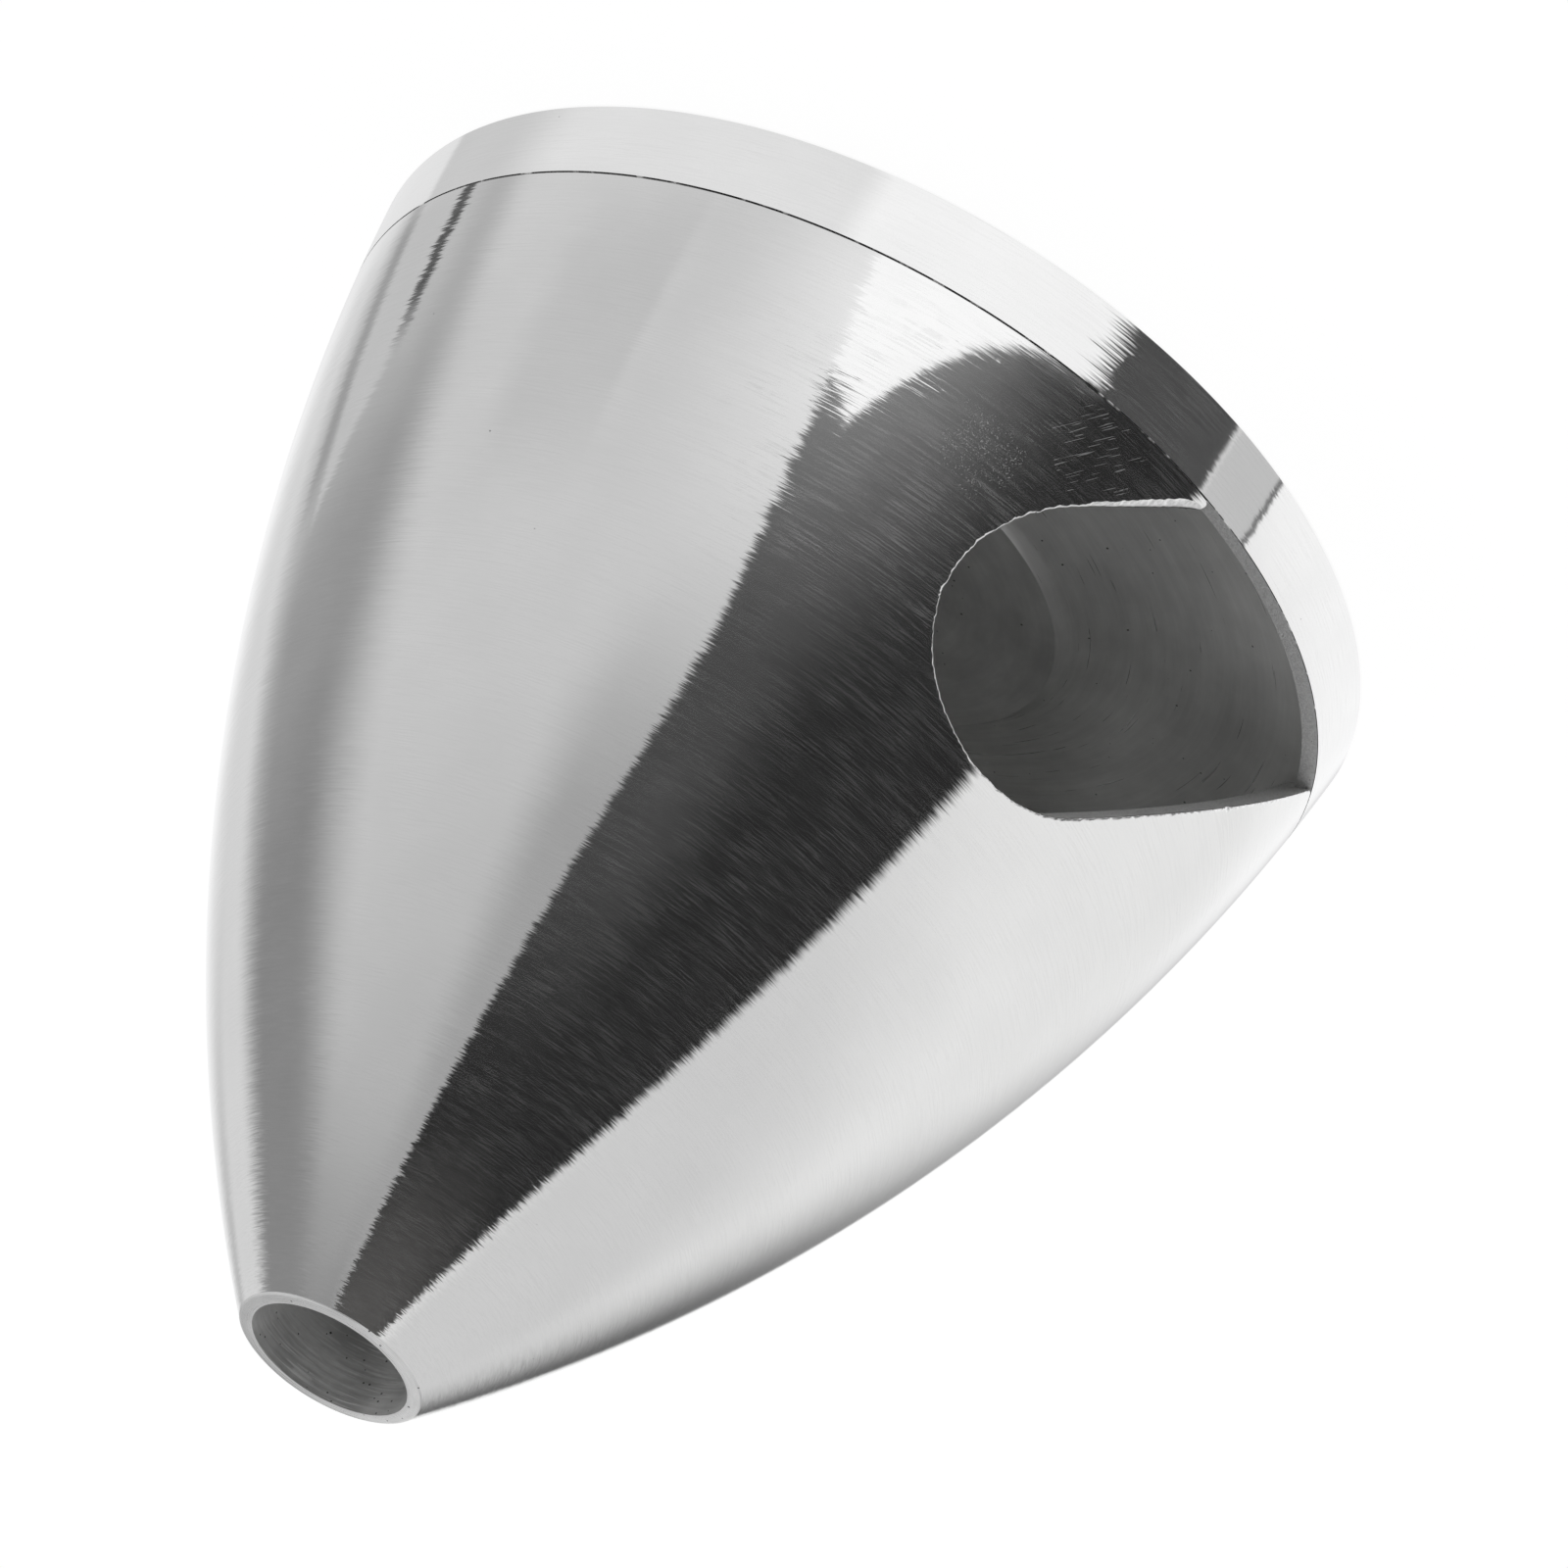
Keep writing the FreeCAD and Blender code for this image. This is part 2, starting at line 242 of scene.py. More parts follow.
class SpinnerStage(bpy.types.PropertyGroup):
    """Camera, floor and light tent"""
    camera_azimuth: turn("Camera azimuth", "Round the object, from -Y towards +X", 52.34)
    camera_elevation: turn("Camera elevation", "Above the floor", 29.44)
    camera_roll: turn("Camera roll", "About the view direction", -148.715)
    camera_distance: length("Camera distance", "From the point aimed at", 521.6 * MM)
    aim: FloatVectorProperty(name="Aim", description="Point that the camera looks at", unit="LENGTH",
                             default=(-7.03 * MM, -0.1 * MM, 13.97 * MM), subtype="TRANSLATION")
    lens: FloatProperty(name="Focal length", description="Of the camera, in millimetres", default=232.84)
    floor_size: length("Floor size", "Side of the square floor", 4.0)
    floor_shadow: share("Floor shadow", "How strongly the floor takes a shadow", 0.12)


SETTINGS = {
    "spinner_outline": SpinnerOutline,
    "spinner_windows": SpinnerWindows,
    "spinner_fasteners": SpinnerFasteners,
    "spinner_finish": SpinnerFinish,
    "spinner_stage": SpinnerStage,
}


# Outlines of the turned pieces, as (radius, height) points

def nose_bore_radius(outline):
    return WASHER_HIGH.x + outline.bore_clearance


def flank_centre(outline):
    """Centre (radius, height) of the arc through the rear edge and the nose rim."""
    rear = Vector((outline.rear_diameter / 2, 0))
    rim = Vector((nose_bore_radius(outline) + outline.rim_wall, NOSE))
    chord = rim - rear
    reach = math.sqrt(outline.flank_radius ** 2 - (chord.length / 2) ** 2)
    return (rear + rim) / 2 - Vector((chord.y, -chord.x)).normalized() * reach


def flank_r(outline, height):
    """Radius of the flank at a height."""
    centre = flank_centre(outline)
    return centre.x + math.sqrt(outline.flank_radius ** 2 - (height - centre.y) ** 2)


def flank_points(outline, low, high, count, inset=0.0):
    """Points up the flank's arc, spaced evenly along it."""
    centre = flank_centre(outline)
    radius = outline.flank_radius - inset
    start = math.asin((low - centre.y) / radius)
    swing = math.asin((high - centre.y) / radius) - start
    angles = [start + swing * step / count for step in range(count + 1)]
    return [(centre.x + radius * math.cos(angle), centre.y + radius * math.sin(angle)) for angle in angles]


def arc_points(centre, radius, start, end, count):
    """Points on an arc in the (radius, height) plane, between two angles in degrees."""
    angles = [math.radians(start + (end - start) * step / count) for step in range(count + 1)]
    return [(centre[0] + radius * math.cos(angle), centre[1] + radius * math.sin(angle)) for angle in angles]


def bowed_points(start, end, sag, count):
    """Points of a shallow arc from start to end that sags by the given height in its middle."""
    points = []
    for step in range(count + 1):
        way = step / count
        height = start[1] + (end[1] - start[1]) * way - 4 * sag * way * (1 - way)
        points.append((start[0] + (end[0] - start[0]) * way, height))
    return points


def straight_points(start, end, count):
    return bowed_points(start, end, 0.0, count)


# Mesh helpers

def add_turned(bm, stretches, steps):
    """Turns a closed outline, in stretches of (material, (radius, height) points), about the shaft axis."""
    def spin(geometry, angle, count, duplicate):
        bmesh.ops.spin(bm, geom=geometry, cent=(0, 0, 0), axis=Z_AXIS, dvec=(0, 0, 0), angle=angle,
                       steps=count, use_merge=False, use_duplicate=duplicate)

    for material, points in stretches:
        first = len(bm.faces)
        verts = [bm.verts.new((radius, 0, height)) for radius, height in points]
        edges = [bm.edges.new(pair) for pair in zip(verts, verts[1:])]
        spin(verts + edges, FULL_TURN / SECTORS, steps // SECTORS, False)
        bm.faces.ensure_lookup_table()
        for face in bm.faces[first:]:
            face.material_index = material
    sector = list(bm.verts) + list(bm.edges) + list(bm.faces)
    spin(sector, FULL_TURN * (SECTORS - 1) / SECTORS, SECTORS - 1, True)
    bmesh.ops.remove_doubles(bm, verts=bm.verts, dist=MERGE_DISTANCE)


def close_up(bm):
    """Drops faces of no size, points the rest outwards, and marks smooth faces and sharp edges."""
    bmesh.ops.dissolve_degenerate(bm, edges=bm.edges, dist=MERGE_DISTANCE)
    bmesh.ops.recalc_face_normals(bm, faces=bm.faces)
    mark_sharp(bm)


def mark_sharp(bm, sharp_angle=SHARP_ANGLE):
    for face in bm.faces:
        face.smooth = True
    for edge in bm.edges:
        edge.smooth = edge.calc_face_angle(0.0) < math.radians(sharp_angle)


def round_edges(bm, edges, width):
    bmesh.ops.bevel(bm, geom=edges, offset=width, segments=3, profile=0.5, affect="EDGES",
                    material=-1, clamp_overlap=True)


def press(bm, radius, low, high, groove):
    """Presses grooves into the round faces of a given radius. groove(turns round, height) is a depth."""
    for vert in bm.verts:
        x, y, height = vert.co
        if abs(math.hypot(x, y) - radius) > TOUCH or not low < height < high:
            continue
        inward = 1 - groove(math.atan2(y, x) / FULL_TURN, height) / radius
        vert.co.x *= inward
        vert.co.y *= inward


def make_piece(bm, name, materials):
    """Makes an object at the origin of a finished mesh and gives it its materials."""
    mesh = bpy.data.meshes.new(name)
    bm.to_mesh(mesh)
    bm.free()
    piece = bpy.data.objects.new(name, mesh)
    bpy.context.scene.collection.objects.link(piece)
    for material in materials:
        mesh.materials.append(material)
    return piece


def enrol(piece, node):
    """Puts a finished piece in the place of its solid."""
    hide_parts(node)
    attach(piece, "root")


# Shader helpers

class Tree:
    """Adds and joins the nodes of one shader tree."""

    def __init__(self, tree):
        self.tree = tree
        tree.nodes.clear()

    def put(self, value, socket):
        """Links a socket to another, or sets a plain value on it."""
        if isinstance(value, bpy.types.NodeSocket):
            self.tree.links.new(value, socket)
        else:
            socket.default_value = value

    def add(self, kind, inputs=(), **settings):
        """Adds a node, whose inputs go by name or number, or stand in the order of its sockets."""
        node = self.tree.nodes.new("ShaderNode" + kind)
        for name, value in settings.items():
            setattr(node, name, value)
        pairs = inputs.items() if isinstance(inputs, dict) else enumerate(inputs)
        for key, value in pairs:
            self.put(value, node.inputs[key])
        return node

    def math(self, operation, *values):
        return self.add("Math", values, operation=operation).outputs[0]

    def times(self, first, second):
        return self.math("MULTIPLY", first, second)

    def plus(self, first, second):
        return self.math("ADD", first, second)

    def minus(self, first, second):
        return self.math("SUBTRACT", first, second)

    def over(self, first, second):
        return self.math("DIVIDE", first, second)

    def vector(self, operation, *values):
        return self.add("VectorMath", values, operation=operation).outputs["Vector"]

    def moved(self, vector, shift):
        return self.vector("ADD", vector, shift)

    def scaled(self, vector, factor):
        return self.add("VectorMath", {0: vector, "Scale": factor}, operation="SCALE").outputs[0]

    def length(self, vector):
        return self.add("VectorMath", [vector], operation="LENGTH").outputs["Value"]

    def turned(self, vector, angle, axis):
        return self.add("VectorRotate", {"Vector": vector, "Angle": angle}, rotation_type=axis).outputs[0]

    def place(self):
        """The place on the object."""
        return self.add("TexCoord").outputs["Object"]

    def parts(self, vector):
        """The X, Y and Z of a vector."""
        return self.add("SeparateXYZ", [vector]).outputs

    def joined(self, **parts):
        """A vector of the given X, Y and Z."""
        return self.add("CombineXYZ", parts).outputs[0]

    def step(self, value, low, high):
        """Rises smoothly from 0 to 1 while value goes from low to high."""
        inputs = {"Value": value, "From Min": low, "From Max": high}
        return self.add("MapRange", inputs, interpolation_type="SMOOTHSTEP").outputs["Result"]

    def fit(self, value, low, high, start, end):
        """Carries value from one range over to another, without going past its ends."""
        inputs = {"Value": value, "From Min": low, "From Max": high, "To Min": start, "To Max": end}
        return self.add("MapRange", inputs).outputs["Result"]

    def mix(self, factor, *colours):
        """Mixes two colours."""
        first, second = [colour if isinstance(colour, bpy.types.NodeSocket) else (*colour, 1.0)
                         for colour in colours]
        return self.add("Mix", {0: factor, 6: first, 7: second}, data_type="RGBA").outputs[2]

    def noise(self, vector, scale=1.0, detail=2.0, roughness=0.5):
        inputs = {"Vector": vector, "Scale": scale, "Detail": detail, "Roughness": roughness}
        return self.add("TexNoise", inputs).outputs["Fac"]

    def wave(self, vector, detail, roughness=0.5):
        """Noise that swings about nought."""
        return self.minus(self.noise(vector, 1.0, detail, roughness), 0.5)

    def group(self, build, **inputs):
        """Places the group that a builder function makes once. An input line_width is Line Width there."""
        tree = bpy.data.node_groups.get(build.__doc__) or build(build.__doc__)
        named = {key.replace("_", " ").title(): value for key, value in inputs.items()}
        return self.add("Group", named, node_tree=tree).outputs

    def mask(self, build, **inputs):
        return self.group(build, **inputs)["Mask"]


def new_group(name, inputs, outputs=None):
    """A node group with named number inputs and named outputs, and its helper and end nodes."""
    tree = bpy.data.node_groups.new(name, "ShaderNodeTree")
    nodes = Tree(tree)
    for label, value in inputs.items():
        socket = tree.interface.new_socket(name=label, in_out="INPUT", socket_type="NodeSocketFloat")
        socket.default_value = value
    for label, kind in (outputs or {"Mask": "Float"}).items():
        tree.interface.new_socket(name=label, in_out="OUTPUT", socket_type="NodeSocket" + kind)
    given = tree.nodes.new("NodeGroupInput").outputs
    result = tree.nodes.new("NodeGroupOutput").inputs
    return tree, nodes, given, result


def round_coordinates(nodes, line_width, line_turn):
    """Pattern coordinates: short across the turning marks and long round the shaft axis."""
    place = nodes.parts(nodes.place())
    flat = nodes.joined(X=place["X"], Y=place["Y"])
    way_round = nodes.scaled(nodes.vector("NORMALIZE", flat), nodes.over(1.0, line_turn))
    across = nodes.over(nodes.minus(place["Z"], nodes.length(flat)), line_width)
    return nodes.vector("ADD", way_round, nodes.joined(Z=across))


def turning_marks(name):
    """Turning marks"""
    tree, nodes, given, result = new_group(
        name,
        {"Line Width": 0.1 * MM, "Line Turn": 0.15, "Tilt Along": 0.05, "Tilt Across": 0.05,
         "Coarse Width": 0.25 * MM, "Coarse Tilt": 0.0, "Cuts": 0.0, "Cut Tilt": 0.0},
        {"Normal": "Vector", "Lines": "Float", "Bands": "Float"})
    place = nodes.place()
    fine = round_coordinates(nodes, given["Line Width"], given["Line Turn"])
    coarse = round_coordinates(nodes, given["Coarse Width"], given["Line Turn"])
    along = nodes.wave(fine, 2.0, 0.6)
    across = nodes.wave(nodes.moved(fine, ACROSS_SHIFT), 2.0, 0.6)
    teeth = nodes.wave(coarse, 3.0, 0.65)
    patches = nodes.fit(nodes.noise(place, 1 / (7 * MM), 2.0), 0.3, 0.7, 0.6, 1.4)
    normal = nodes.add("NewGeometry").outputs["Normal"]
    tangent = nodes.vector("NORMALIZE", nodes.vector("CROSS_PRODUCT", tuple(Z_AXIS), place))
    uphill = nodes.vector("CROSS_PRODUCT", normal, tangent)
    swing = nodes.plus(nodes.times(along, given["Tilt Along"]), nodes.times(teeth, given["Coarse Tilt"]))
    depth = nodes.times(given["Cuts"], given["Cut Tilt"])
    aside = nodes.plus(nodes.times(swing, patches), nodes.times(depth, across))
    lift = nodes.plus(nodes.times(across, given["Tilt Across"]), nodes.times(depth, along))
    tilted = nodes.vector("ADD", normal, nodes.scaled(tangent, aside))
    tilted = nodes.vector("ADD", tilted, nodes.scaled(uphill, lift))
    nodes.put(nodes.vector("NORMALIZE", tilted), result["Normal"])
    nodes.put(nodes.plus(across, 0.5), result["Lines"])
    nodes.put(nodes.plus(teeth, 0.5), result["Bands"])
    return tree


def hairlines(name):
    """Hairlines round the shaft axis"""
    tree, nodes, given, result = new_group(name, {"Line Width": 0.06 * MM, "Line Turn": 0.06, "Share": 0.3})
    base = round_coordinates(nodes, given["Line Width"], given["Line Turn"])
    edge = nodes.fit(given["Share"], 0.0, 1.0, 0.82, 0.5)
    spots = nodes.noise(nodes.moved(base, HAIRLINE_SHIFT), detail=0.0)
    lines = nodes.step(spots, edge, nodes.plus(edge, 0.05))
    patches = nodes.fit(nodes.noise(nodes.place(), 1 / (2 * MM), 3.0), 0.35, 0.6, 0.15, 1.0)
    nodes.put(nodes.times(lines, patches), result["Mask"])
    return tree


def broken_lines(nodes, size, width, break_scale, low, high):
    """Thin bent lines that are broken up, and the place in their size."""
    place = nodes.scaled(nodes.place(), nodes.over(1.0, size))
    bend = nodes.math("ABSOLUTE", nodes.wave(place, 1.0))
    line = nodes.step(bend, width, nodes.times(width, 0.3))
    broken = nodes.step(nodes.noise(nodes.moved(place, BREAK_SHIFT), break_scale, 0.0), low, high)
    return nodes.times(line, broken), place


def short_scratches(name):
    """Short scratches"""
    tree, nodes, given, result = new_group(name, {"Size": 1.0 * MM, "Width": 0.02, "Share": 0.3})
    lines, place = broken_lines(nodes, given["Size"], given["Width"], 1.7, 0.5, 0.56)
    edge = nodes.fit(given["Share"], 0.0, 1.0, 0.8, 0.3)
    patch = nodes.noise(nodes.moved(place, PATCH_SHIFT), 0.17, 2.0)
    patches = nodes.step(patch, edge, nodes.plus(edge, 0.08))
    nodes.put(nodes.times(lines, patches), result["Mask"])
    return tree


def new_patch(name, more, fill):
    """A node group for a patch with a frayed edge on the flank, filled by fill(nodes, given, axes)."""
    inputs = {"Azimuth": 0.0, "Height": 0.0, "Angle": 0.0, "Spread": 2 * MM}
    tree, nodes, given, result = new_group(name, {**inputs, **more})
    place = nodes.place()
    facing = nodes.turned(place, nodes.times(given["Azimuth"], -1.0), "Z_AXIS")
    centred = nodes.vector("SUBTRACT", facing, nodes.joined(Z=given["Height"]))
    axes = nodes.parts(nodes.turned(centred, nodes.times(given["Angle"], -1.0), "X_AXIS"))
    away = nodes.over(nodes.length(nodes.joined(Y=axes["Y"], Z=axes["Z"])), given["Spread"])
    frayed = nodes.plus(away, nodes.fit(nodes.noise(place, 1 / MM, 2.0), 0.0, 1.0, -0.7, 0.7))
    inside = nodes.times(nodes.step(frayed, 1.0, 0.8), nodes.math("GREATER_THAN", axes["X"], 0.0))
    nodes.put(nodes.times(fill(nodes, given, axes), inside), result["Mask"])
    return tree


def straight_scratches(name):
    """Patch of straight scratches"""
    def fill(nodes, given, axes):
        along = nodes.over(axes["Y"], given["Length"])
        across = nodes.over(axes["Z"], given["Width"])
        return nodes.step(nodes.noise(nodes.joined(Y=along, Z=across), detail=0.0), 0.68, 0.74)
    return new_patch(name, {"Length": 1.7 * MM, "Width": 0.07 * MM}, fill)


def rubbed_patch(name):
    """Patch rubbed by grit"""
    def fill(nodes, given, axes):
        return broken_lines(nodes, given["Size"], 0.05, 2.4, 0.55, 0.63)[0]
    return new_patch(name, {"Size": 0.24 * MM}, fill)


def plain_patch(name):
    """Patch that is filled all over"""
    return new_patch(name, {}, lambda nodes, given, axes: 1.0)


def pits(name):
    """Pits and specks"""
    tree, nodes, given, result = new_group(name, {"Spacing": 0.8 * MM, "Size": 0.09, "Share": 0.2})
    inputs = {"Vector": nodes.place(), "Scale": nodes.over(1.0, given["Spacing"])}
    cells = nodes.add("TexVoronoi", inputs).outputs
    chance = nodes.add("SeparateColor", [cells["Color"]]).outputs
    size = nodes.times(given["Size"], nodes.fit(chance["Green"], 0.0, 1.0, 0.4, 1.0))
    spot = nodes.step(cells["Distance"], size, nodes.times(size, 0.5))
    nodes.put(nodes.times(spot, nodes.math("LESS_THAN", chance["Red"], given["Share"])), result["Mask"])
    return tree


# Finishes

def metal(name, base, rough, build, metallic=1.0):
    """A metal material. build(nodes, shader) adds what varies over the surface."""
    material = bpy.data.materials.new(name)
    material.use_nodes = True
    nodes = Tree(material.node_tree)
    inputs = {"Base Color": (*base, 1.0), "Metallic": metallic, "Roughness": rough}
    shader = nodes.add("BsdfPrincipled", inputs)
    nodes.add("OutputMaterial", [shader.outputs[0]])
    build(nodes, shader.inputs)
    return material


def put_specked(nodes, shader, tone, grime_and_seam_shade, spacing, size, share):
    """Gives the surface a tone with dark specks."""
    specks = nodes.mask(pits, spacing=spacing, size=size, share=share)
    nodes.put(nodes.mix(specks, tone, grime_and_seam_shade), shader["Base Color"])


def polished_metal(name, finish, evenness=1.0):
    """The polished flank. A lower evenness leaves straighter reflections."""
    def build(nodes, shader):
        def patch(builder, mark, **more):
            middle = {key: getattr(finish, f"{mark}_{key}") for key in ("azimuth", "height", "spread")}
            return nodes.mask(builder, **middle, **more)

        streaks = nodes.mask(hairlines, line_width=finish.streak_width, line_turn=0.1, share=0.9)
        streaks = nodes.times(streaks, nodes.fit(patch(plain_patch, "worn"), 0.0, 1.0, 0.35, 1.0))
        scratches = patch(straight_scratches, "scratch", angle=finish.scratch_angle)
        cuts = nodes.math("MAXIMUM", scratches, patch(rubbed_patch, "rub"))
        place = nodes.place()
        nose = nodes.fit(nodes.parts(place)["Z"], finish.nose_start, NOSE, 0.0, finish.nose_tilt)
        patchy = nodes.plus(nodes.times(patch(plain_patch, "scuff"), finish.scuff_tilt), nose)
        deep = nodes.math("MAXIMUM", nodes.times(cuts, finish.scratch_tilt * 0.25),
                          nodes.times(streaks, finish.streak_tilt * evenness))
        marks = nodes.group(turning_marks, line_width=finish.line_width, line_turn=0.14,
                            tilt_along=nodes.plus(patchy, finish.line_tilt * evenness),
                            tilt_across=finish.line_lift * evenness, coarse_width=finish.tooth_width,
                            coarse_tilt=finish.tooth_tilt * evenness, cuts=deep, cut_tilt=1.0)
        nodes.put(marks["Normal"], shader["Normal"])
        nodes.put(nodes.fit(marks["Lines"], 0.3, 0.7, 0.03, 0.06), shader["Roughness"])
        grain = nodes.times(nodes.fit(marks["Lines"], 0.45, 0.7, 0.03, 0.3), finish.streak_haze)
        haze = nodes.plus(nodes.times(streaks, finish.streak_haze), grain)
        scattered = nodes.plus(haze, nodes.times(cuts, finish.scratch_haze))
        nodes.put(nodes.minus(1.0, scattered), shader["Metallic"])
        cloud = nodes.fit(nodes.noise(place, 1 / (4 * MM), 3.0), 0.35, 0.65, 0.97, 1.0)
        shade = nodes.times(nodes.fit(marks["Lines"], 0.25, 0.6, 0.96, 1.0), cloud)
        tone = nodes.mix(shade, finish.grime_and_seam_shade, finish.polished)
        put_specked(nodes, shader, tone, finish.grime_and_seam_shade, 1.3 * MM, 0.05, 0.12)
    return metal(name, finish.polished, 0.05, build)


def turned_metal(name, base, finish, rough, width, tilt, speckle, metallic=1.0, highlight_arcs=0.0, lobes=0.0):
    """Metal with concentric tool marks of a given width and tilt, specks, scratches and light arcs."""
    def build(nodes, shader):
        short = nodes.mask(short_scratches, size=2.2 * MM, width=0.007, share=0.25)
        marks = nodes.group(turning_marks, line_width=width, line_turn=0.35, tilt_along=tilt * 0.25,
                            tilt_across=tilt, coarse_width=width * 5, coarse_tilt=tilt * 0.3,
                            cuts=short, cut_tilt=finish.scratch_tilt * 0.2)
        nodes.put(marks["Normal"], shader["Normal"])
        nodes.put(nodes.fit(marks["Lines"], 0.3, 0.7, rough * 0.8, rough * 1.2), shader["Roughness"])
        shade = nodes.times(nodes.fit(marks["Lines"], 0.3, 0.7, 0.93, 1.0),
                            nodes.fit(marks["Bands"], 0.35, 0.65, 0.9, 1.0))
        cloud = nodes.fit(nodes.noise(nodes.place(), 1 / (3 * MM), 3.0), 0.38, 0.62, 0.92 - highlight_arcs, 1.0)
        tone = nodes.mix(nodes.times(shade, cloud), finish.grime_and_seam_shade, base)
        # Painted highlight: lighter arcs along hairlines stand in for light caught by the bore's tool
        # grooves, and the clouds round them go darker by the same amount
        if highlight_arcs:
            tone = nodes.mix(nodes.mask(hairlines, line_width=width, line_turn=0.5, share=0.8), tone, base)
        put_specked(nodes, shader, tone, finish.grime_and_seam_shade, 0.45 * MM, 0.2, speckle)
        if lobes:
            shader["Anisotropic"].default_value = lobes
            shader["Anisotropic Rotation"].default_value = 0.25
            nodes.put(nodes.add("Tangent", direction_type="RADIAL", axis="Z").outputs[0], shader["Tangent"])
    return metal(name, base, rough, build, metallic)


def painted_seam_shade(finish):
    # Painted shade: the seam's broken edges get a dark colour that stands in for the shade in the crease
    # between cone and plate, broken by patches of bare metal
    def build(nodes, shader):
        bare = nodes.step(nodes.noise(nodes.place(), 1 / (0.8 * MM), 4.0), 0.55, 0.66)
        nodes.put(nodes.mix(bare, finish.grime_and_seam_shade, finish.turned), shader["Base Color"])
        nodes.put(nodes.fit(bare, 0.0, 1.0, 0.7, 0.35), shader["Roughness"])
    return metal("seam_painted_shade", finish.grime_and_seam_shade, 0.6, build)


def milled_metal(name, base, finish, rough, streak_width, streak_depth, metallic=1.0):
    """Metal with streaks along the shaft axis, left by the side of a cutter or a file."""
    def build(nodes, shader):
        fine = 1 / streak_width
        stretched = nodes.vector("MULTIPLY", nodes.place(), (fine, fine, 0.25 * fine))
        streaks = nodes.noise(stretched, detail=4.0, roughness=0.7)
        relief = nodes.add("Bump", {"Height": streaks, "Distance": streak_depth}).outputs[0]
        nodes.put(relief, shader["Normal"])
        nodes.put(nodes.fit(streaks, 0.3, 0.7, rough * 1.3, rough * 0.7), shader["Roughness"])
        tone = nodes.mix(nodes.fit(streaks, 0.35, 0.6, 0.75, 1.0), finish.grime_and_seam_shade, base)
        put_specked(nodes, shader, tone, finish.grime_and_seam_shade, 0.3 * MM, 0.2, 0.15)
    return metal(name, base, rough, build, metallic)


def stained_steel(name, base, finish, rough, stain_share, width):
    """Steel with fine tool marks, faint stains and scratches."""
    def build(nodes, shader):
        short = nodes.mask(short_scratches, size=1.2 * MM, width=0.02, share=0.6)
        marks = nodes.group(turning_marks, line_width=width, line_turn=0.5, tilt_along=0.05,
                            tilt_across=0.2, cuts=short, cut_tilt=finish.scratch_tilt)
        nodes.put(marks["Normal"], shader["Normal"])
        spots = nodes.noise(nodes.place(), 1 / (2.5 * MM), 5.0, 0.6)
        stain = nodes.step(spots, 0.68 - stain_share, 0.78 - stain_share)
        nodes.put(nodes.fit(stain, 0.0, 1.0, rough, rough * 1.6), shader["Roughness"])
        tone = nodes.mix(nodes.times(stain, 0.6), base, finish.rust)
        put_specked(nodes, shader, tone, finish.grime_and_seam_shade, 0.5 * MM, 0.15, 0.2)
    return metal(name, base, rough, build)


def piece_materials(finish, evenness=1.0):
    """The finishes of a turned piece, in the order of their places."""
    matte = finish.matte
    shiny = 1 - matte
    return [
        polished_metal("polished_flank", finish, evenness),
        painted_seam_shade(finish),
        turned_metal("faced_ring", finish.polished, finish, 0.3, 0.06 * MM, 0.08, 0.4),
        turned_metal("bored_aluminium", finish.bored, finish, 0.36, 0.14 * MM, 0.4, 0.8, matte, highlight_arcs=0.2),
        turned_metal("turned_inside", finish.turned, finish, 0.34, 0.16 * MM, 0.08, 0.1,
                     shiny * 0.8, lobes=0.8),
        milled_metal("milled_cut", finish.milled, finish, 0.45, 0.12 * MM, 0.01 * MM, shiny),
        milled_metal("filed_edge", finish.polished, finish, 0.22, 0.2 * MM, 0.012 * MM),
        milled_metal("matte_ledge", finish.polished, finish, 0.5, 0.14 * MM, 0.1 * MM, matte),
        turned_metal("faced_boss", finish.turned, finish, 0.42, 0.3 * MM, 0.06, 0.1, matte),
    ]


# Nose cone

def cone_outlines(outline, fasteners):
    """The cone's closed outline, in stretches of one finish each."""
    bore = nose_bore_radius(outline)
    rim = bore + outline.rim_wall
    rim_start = NOSE - outline.rim_break
    edge = SEAM + outline.seam_break
    recess = WASHER_LOW.z
    hole = fasteners.bolt_diameter / 2 + fasteners.hole_clearance
    top = recess - outline.web
    lip_low = CONE_LOW.z
    lip = flank_r(outline, SEAM) - outline.ledge - outline.lip_clearance
    flank = flank_points(outline, edge, rim_start, FLANK_ROWS)
    cavity = cavity_points(outline, top, lip_low)
    return [
        (POLISHED, flank),
        (RING, [flank[-1], (rim - outline.rim_break, NOSE), (bore, NOSE)]),
        (BORE, grooved_bore(outline, bore, recess) + [(hole, recess)]),
        (INSIDE, [(hole, recess), (hole, top), cavity[0]]),
        (INSIDE, cavity),
        (INSIDE, [cavity[-1], (lip, lip_low), (lip, SEAM)]),
        (SEAM_EDGE, [(lip, SEAM), (flank_r(outline, SEAM) - outline.seam_break, SEAM), flank[0]]),
    ]


def grooved_bore(outline, bore, bottom):
    """Points down the nose bore, whose tool grooves fade out below its mouth."""
    points = []
    count = round(outline.groove_run / outline.groove_pitch * ROWS_PER_GROOVE)
    for step in range(count):
        depth = outline.groove_run * step / count
        swell = math.sin(math.pi * depth / outline.groove_pitch) ** 2
        points.append((bore + outline.groove_depth * (1 - step / count) * swell, NOSE - depth))
    return points + straight_points((bore, NOSE - outline.groove_run), (bore, bottom), BORE_ROWS)


def cavity_points(outline, top, bottom):
    """The cavity's corner arc and its side, down to the lip."""
    centre = flank_centre(outline)
    corner = outline.corner_radius
    inner = outline.flank_radius - outline.wall
    corner_height = top - corner
    lean = math.asin((corner_height - centre.y) / (inner - corner))
    corner_r = centre.x + (inner - corner) * math.cos(lean)
    rounding = arc_points((corner_r, corner_height), corner, 90, math.degrees(lean), CORNER_ROWS)
    side_top = rounding[-1][1]
    side = flank_points(outline, bottom, side_top, CAVITY_ROWS, outline.wall)
    return rounding + side[::-1][1:]


